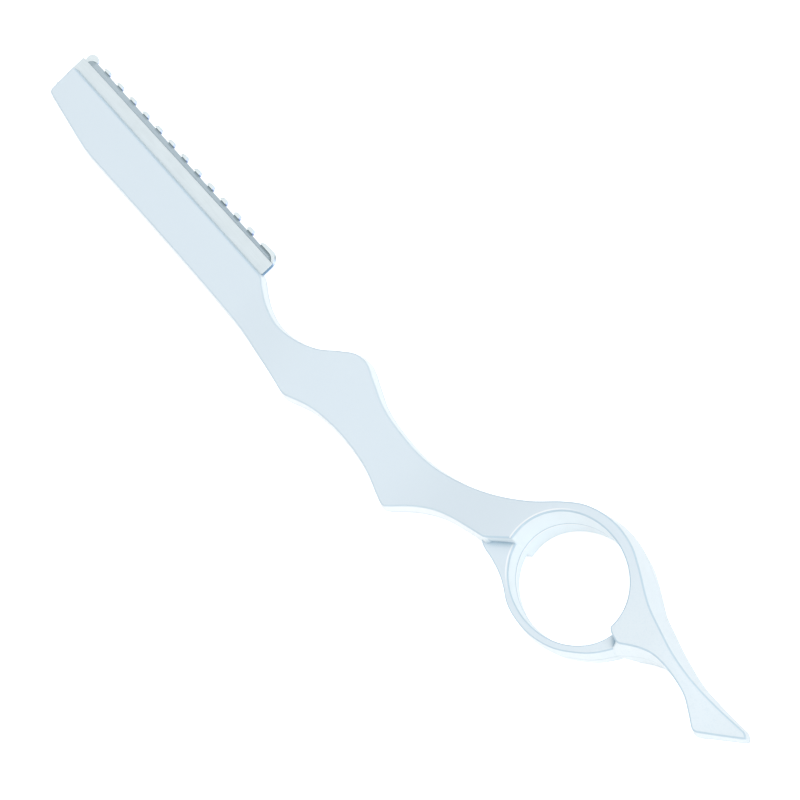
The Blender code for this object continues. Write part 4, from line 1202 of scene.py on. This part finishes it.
def plated_nickel():
    finish = Finish("plated_nickel")
    along, across, height = finish.plan()
    facing_x, _, facing_z = finish.facing()
    lug_side = guard_high.x - NECK_LUG
    tip_lug_end = GUARD_TIP_X - LUG_PROUD + TIP_LUG
    lines = finish.noise(finish.place(ALONG_X), NICKEL_LINE, detail=4.0, rough=0.65)
    edge = finish.falls(abs(facing_z), 0.55, 0.96)
    # painted shade on the seat under the blade, in the narrow gap beside its edge
    seat = finish.falls(across, *SEAT_ROOTS) * finish.rises(across, blade_low.y - MM, blade_low.y)
    seat = seat * finish.rises(height, *SEAT_LOW) * finish.falls(height, *SEAT_HIGH)
    seat = seat * finish.rises(along, tip_lug_end, tip_lug_end + SEAT_TIP)
    tooth_root = finish.falls(across, *TOOTH_ROOTS) * finish.falls(along, lug_side, lug_side + MM)
    stop_wall = finish.falls(across, *STOP_WALL) * finish.rises(height, *STOP_WALL_LOW)
    # painted shade and reflection on the faces towards the neck, darkest at the roots and the stop
    neckward_shade_and_reflection = finish.layered(NECKWARD_REFLECTION, [(tooth_root, TOOTH_ROOT_SHADE), (stop_wall, STOP_WALL_SHADE)])
    body = finish.layered(NICKEL, [
        (finish.rises(lines, 0.3, 0.8) * 0.25, NICKEL_LINES_AND_EDGE_SHADE),
        # painted shade on the faces that turn sideways
        (edge * 0.7, NICKEL_LINES_AND_EDGE_SHADE),
        (seat, SEAT_SHADE),
        # the painted shade and reflection on the faces towards the neck
        (finish.rises(facing_x, 0.6, 0.95), neckward_shade_and_reflection),
    ])
    return finish.give(Base_Color=body, Metallic=1.0, Roughness=0.24 + finish.rises(lines, 0.25, 0.8) * 0.12,
                       Normal=finish.bump(lines, NICKEL_DEPTH))


dress(strip_steel, cover_piece, *rivet_pieces)
dress(plated_nickel(), guard_piece)
dress(blade_steel, blade_piece)
dress(spring_steel, spring_piece)
print("finish:", guard_piece.data.materials[0].name)

# %% [markdown]
# ## What moves with what
# The guard slides out of the head with its cover plate and rivets on it, and the blade slides out of the
# guard. Every finer piece rides on the same body as the piece that it stands for. Parenting them by hand
# would do the same, but the names of the bodies would then be written in two places.

# %% Tie the pieces to their bodies
PLACES = [(front_case, "handle", "shell", "front_shell"), (back_case, "handle", "shell", "back_shell"),
          (spring_piece, "handle", "spring", "detent_spring"), (guard_piece, "guard", "guard", "comb_guard"),
          (cover_piece, "guard", "cover", "cover_plate"), (blade_piece, "blade", "blade", "razor_blade")]
PLACES += [(rivet, "guard", "rivet", f"guard_rivet_{i + 1}") for i, rivet in enumerate(rivet_pieces)]
for piece, body, slot, node in PLACES:
    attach(piece, body)
    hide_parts(node)
print("pieces:", len(PLACES))

# %% [markdown]
# ## Floor, light and camera
# The razor lies on a white table under a soft light from above, with light walls round it. The white of the
# background is the floor's own colour: a little of it glows for the camera, so that it reaches full white,
# while the razor's shadow still shows where it touches.

# %% Floor
FLOOR_HALF = 4.0
FLOOR_DROP = 0.1 * MM
FLOOR_GLOW = 0.5
FLOOR_DARK = (0.90, 0.90, 0.90)
FLOOR_PALE = (0.92, 0.92, 0.92)
MOTTLE_SIZE = 40 * MM


def make_floor():
    bm = bmesh.new()
    bmesh.ops.create_grid(bm, x_segments=8, y_segments=8, size=FLOOR_HALF)
    floor = add_mesh("table_top", bm)
    floor.location.z = -FLOOR_DROP
    finish = Finish("white_table")
    seen = sum(finish.node("ShaderNodeLightPath", out=f"Is {kind} Ray")
               for kind in ("Camera", "Glossy", "Transmission"))
    mottle = finish.noise(finish.place(), MOTTLE_SIZE, detail=3.0)
    colour = finish.layered(FLOOR_DARK, [(finish.rises(mottle, 0.3, 0.7), FLOOR_PALE)])
    glow = finish.layered((0, 0, 0), [(seen, (FLOOR_GLOW, FLOOR_GLOW, FLOOR_GLOW))])
    dress(finish.give(Base_Color=colour, Roughness=0.8, Specular_IOR_Level=0.1, Emission_Color=glow,
                      Emission_Strength=1.0), floor)
    return floor


floor_piece = make_floor()
print("floor in metres:", [round(side, 2) for side in floor_piece.dimensions])

# %% World and lamps
BACKDROP = 1.0
SKY_LOW = 0.62
SKY_HIGH = 0.77
SKY_TOP = 0.8                   # how high up the sky has reached its full light
LAMPS = [("soft_top", (-0.2, 0.1, 1.3), 2.6, 6.4), ("side_fill", (0.95, 0.15, 0.7), 0.8, 3.6)]


def make_world():
    """Pale for the camera; for light and reflections, a sky that is brighter above than at its rim."""
    world = bpy.data.worlds.new("studio")
    world.use_nodes = True
    bpy.context.scene.world = world
    studio = Nodes(world.node_tree)
    studio.tree.nodes.clear()
    height = studio.parts_of(studio.node("ShaderNodeTexCoord", out="Generated"))[2]
    level = studio.rises(height, 0.0, SKY_TOP, SKY_LOW, SKY_HIGH)
    sky = studio.node("ShaderNodeBackground", {}, {"Color": (1, 1, 1, 1), "Strength": level})
    pale = studio.node("ShaderNodeBackground", {}, {"Strength": BACKDROP})
    seen = studio.node("ShaderNodeLightPath", out="Is Camera Ray")
    mixed = studio.node("ShaderNodeMixShader", {}, {0: seen, 1: sky, 2: pale})
    studio.node("ShaderNodeOutputWorld", {}, {"Surface": mixed})


def make_lamp(name, place, size, power):
    lamp = bpy.data.lights.new(name, "AREA")
    lamp.shape = "DISK"
    lamp.size = size
    lamp.energy = power
    item = put_in_scene(name, lamp)
    item.location = place
    item.rotation_euler = (-Vector(place)).to_track_quat("-Z", "Y").to_euler()


make_world()
for name, place, size, power in LAMPS:
    make_lamp(name, place, size, power)

# %% [markdown]
# ## Camera
# The photograph was taken with a long lens, from in front of the razor's face and a little towards the tail.
# The camera is placed by its target, its distance and three angles, because these are what a photographer
# would change. The lens follows from the razor's known length on the picture.

# %% Camera
TARGET = ORIGIN + Vector((-52.485, -1.159, 0)) * MM
DISTANCE = 0.8
TILT = math.radians(25.0)       # away from straight above, towards the tail
SWING = math.radians(4.39)      # of the tilt, towards the cutting edge
ROLL = math.radians(47.82)
FOCAL_LENGTH = 188.5
CLIP_START = 0.05
CLIP_END = 20


def make_camera():
    back = Vector((math.sin(TILT) * math.cos(SWING), math.sin(TILT) * math.sin(SWING), math.cos(TILT)))
    flat_right = (Vector((1, 0, 0)) - back * back.x).normalized()
    flat_up = back.cross(flat_right)
    right = flat_right * math.cos(ROLL) + flat_up * math.sin(ROLL)
    up = flat_up * math.cos(ROLL) - flat_right * math.sin(ROLL)
    camera = put_in_scene("camera", bpy.data.cameras.new("camera"))
    camera.data.lens = FOCAL_LENGTH
    camera.data.clip_start = CLIP_START
    camera.data.clip_end = CLIP_END
    axes = Matrix((right, up, back)).transposed().to_4x4()
    camera.matrix_world = Matrix.Translation(TARGET + back * DISTANCE) @ axes
    bpy.context.scene.camera = camera


make_camera()
bpy.context.scene.view_settings.view_transform = "Standard"
print("camera looks at, in mm:", [round(c / MM, 1) for c in TARGET])
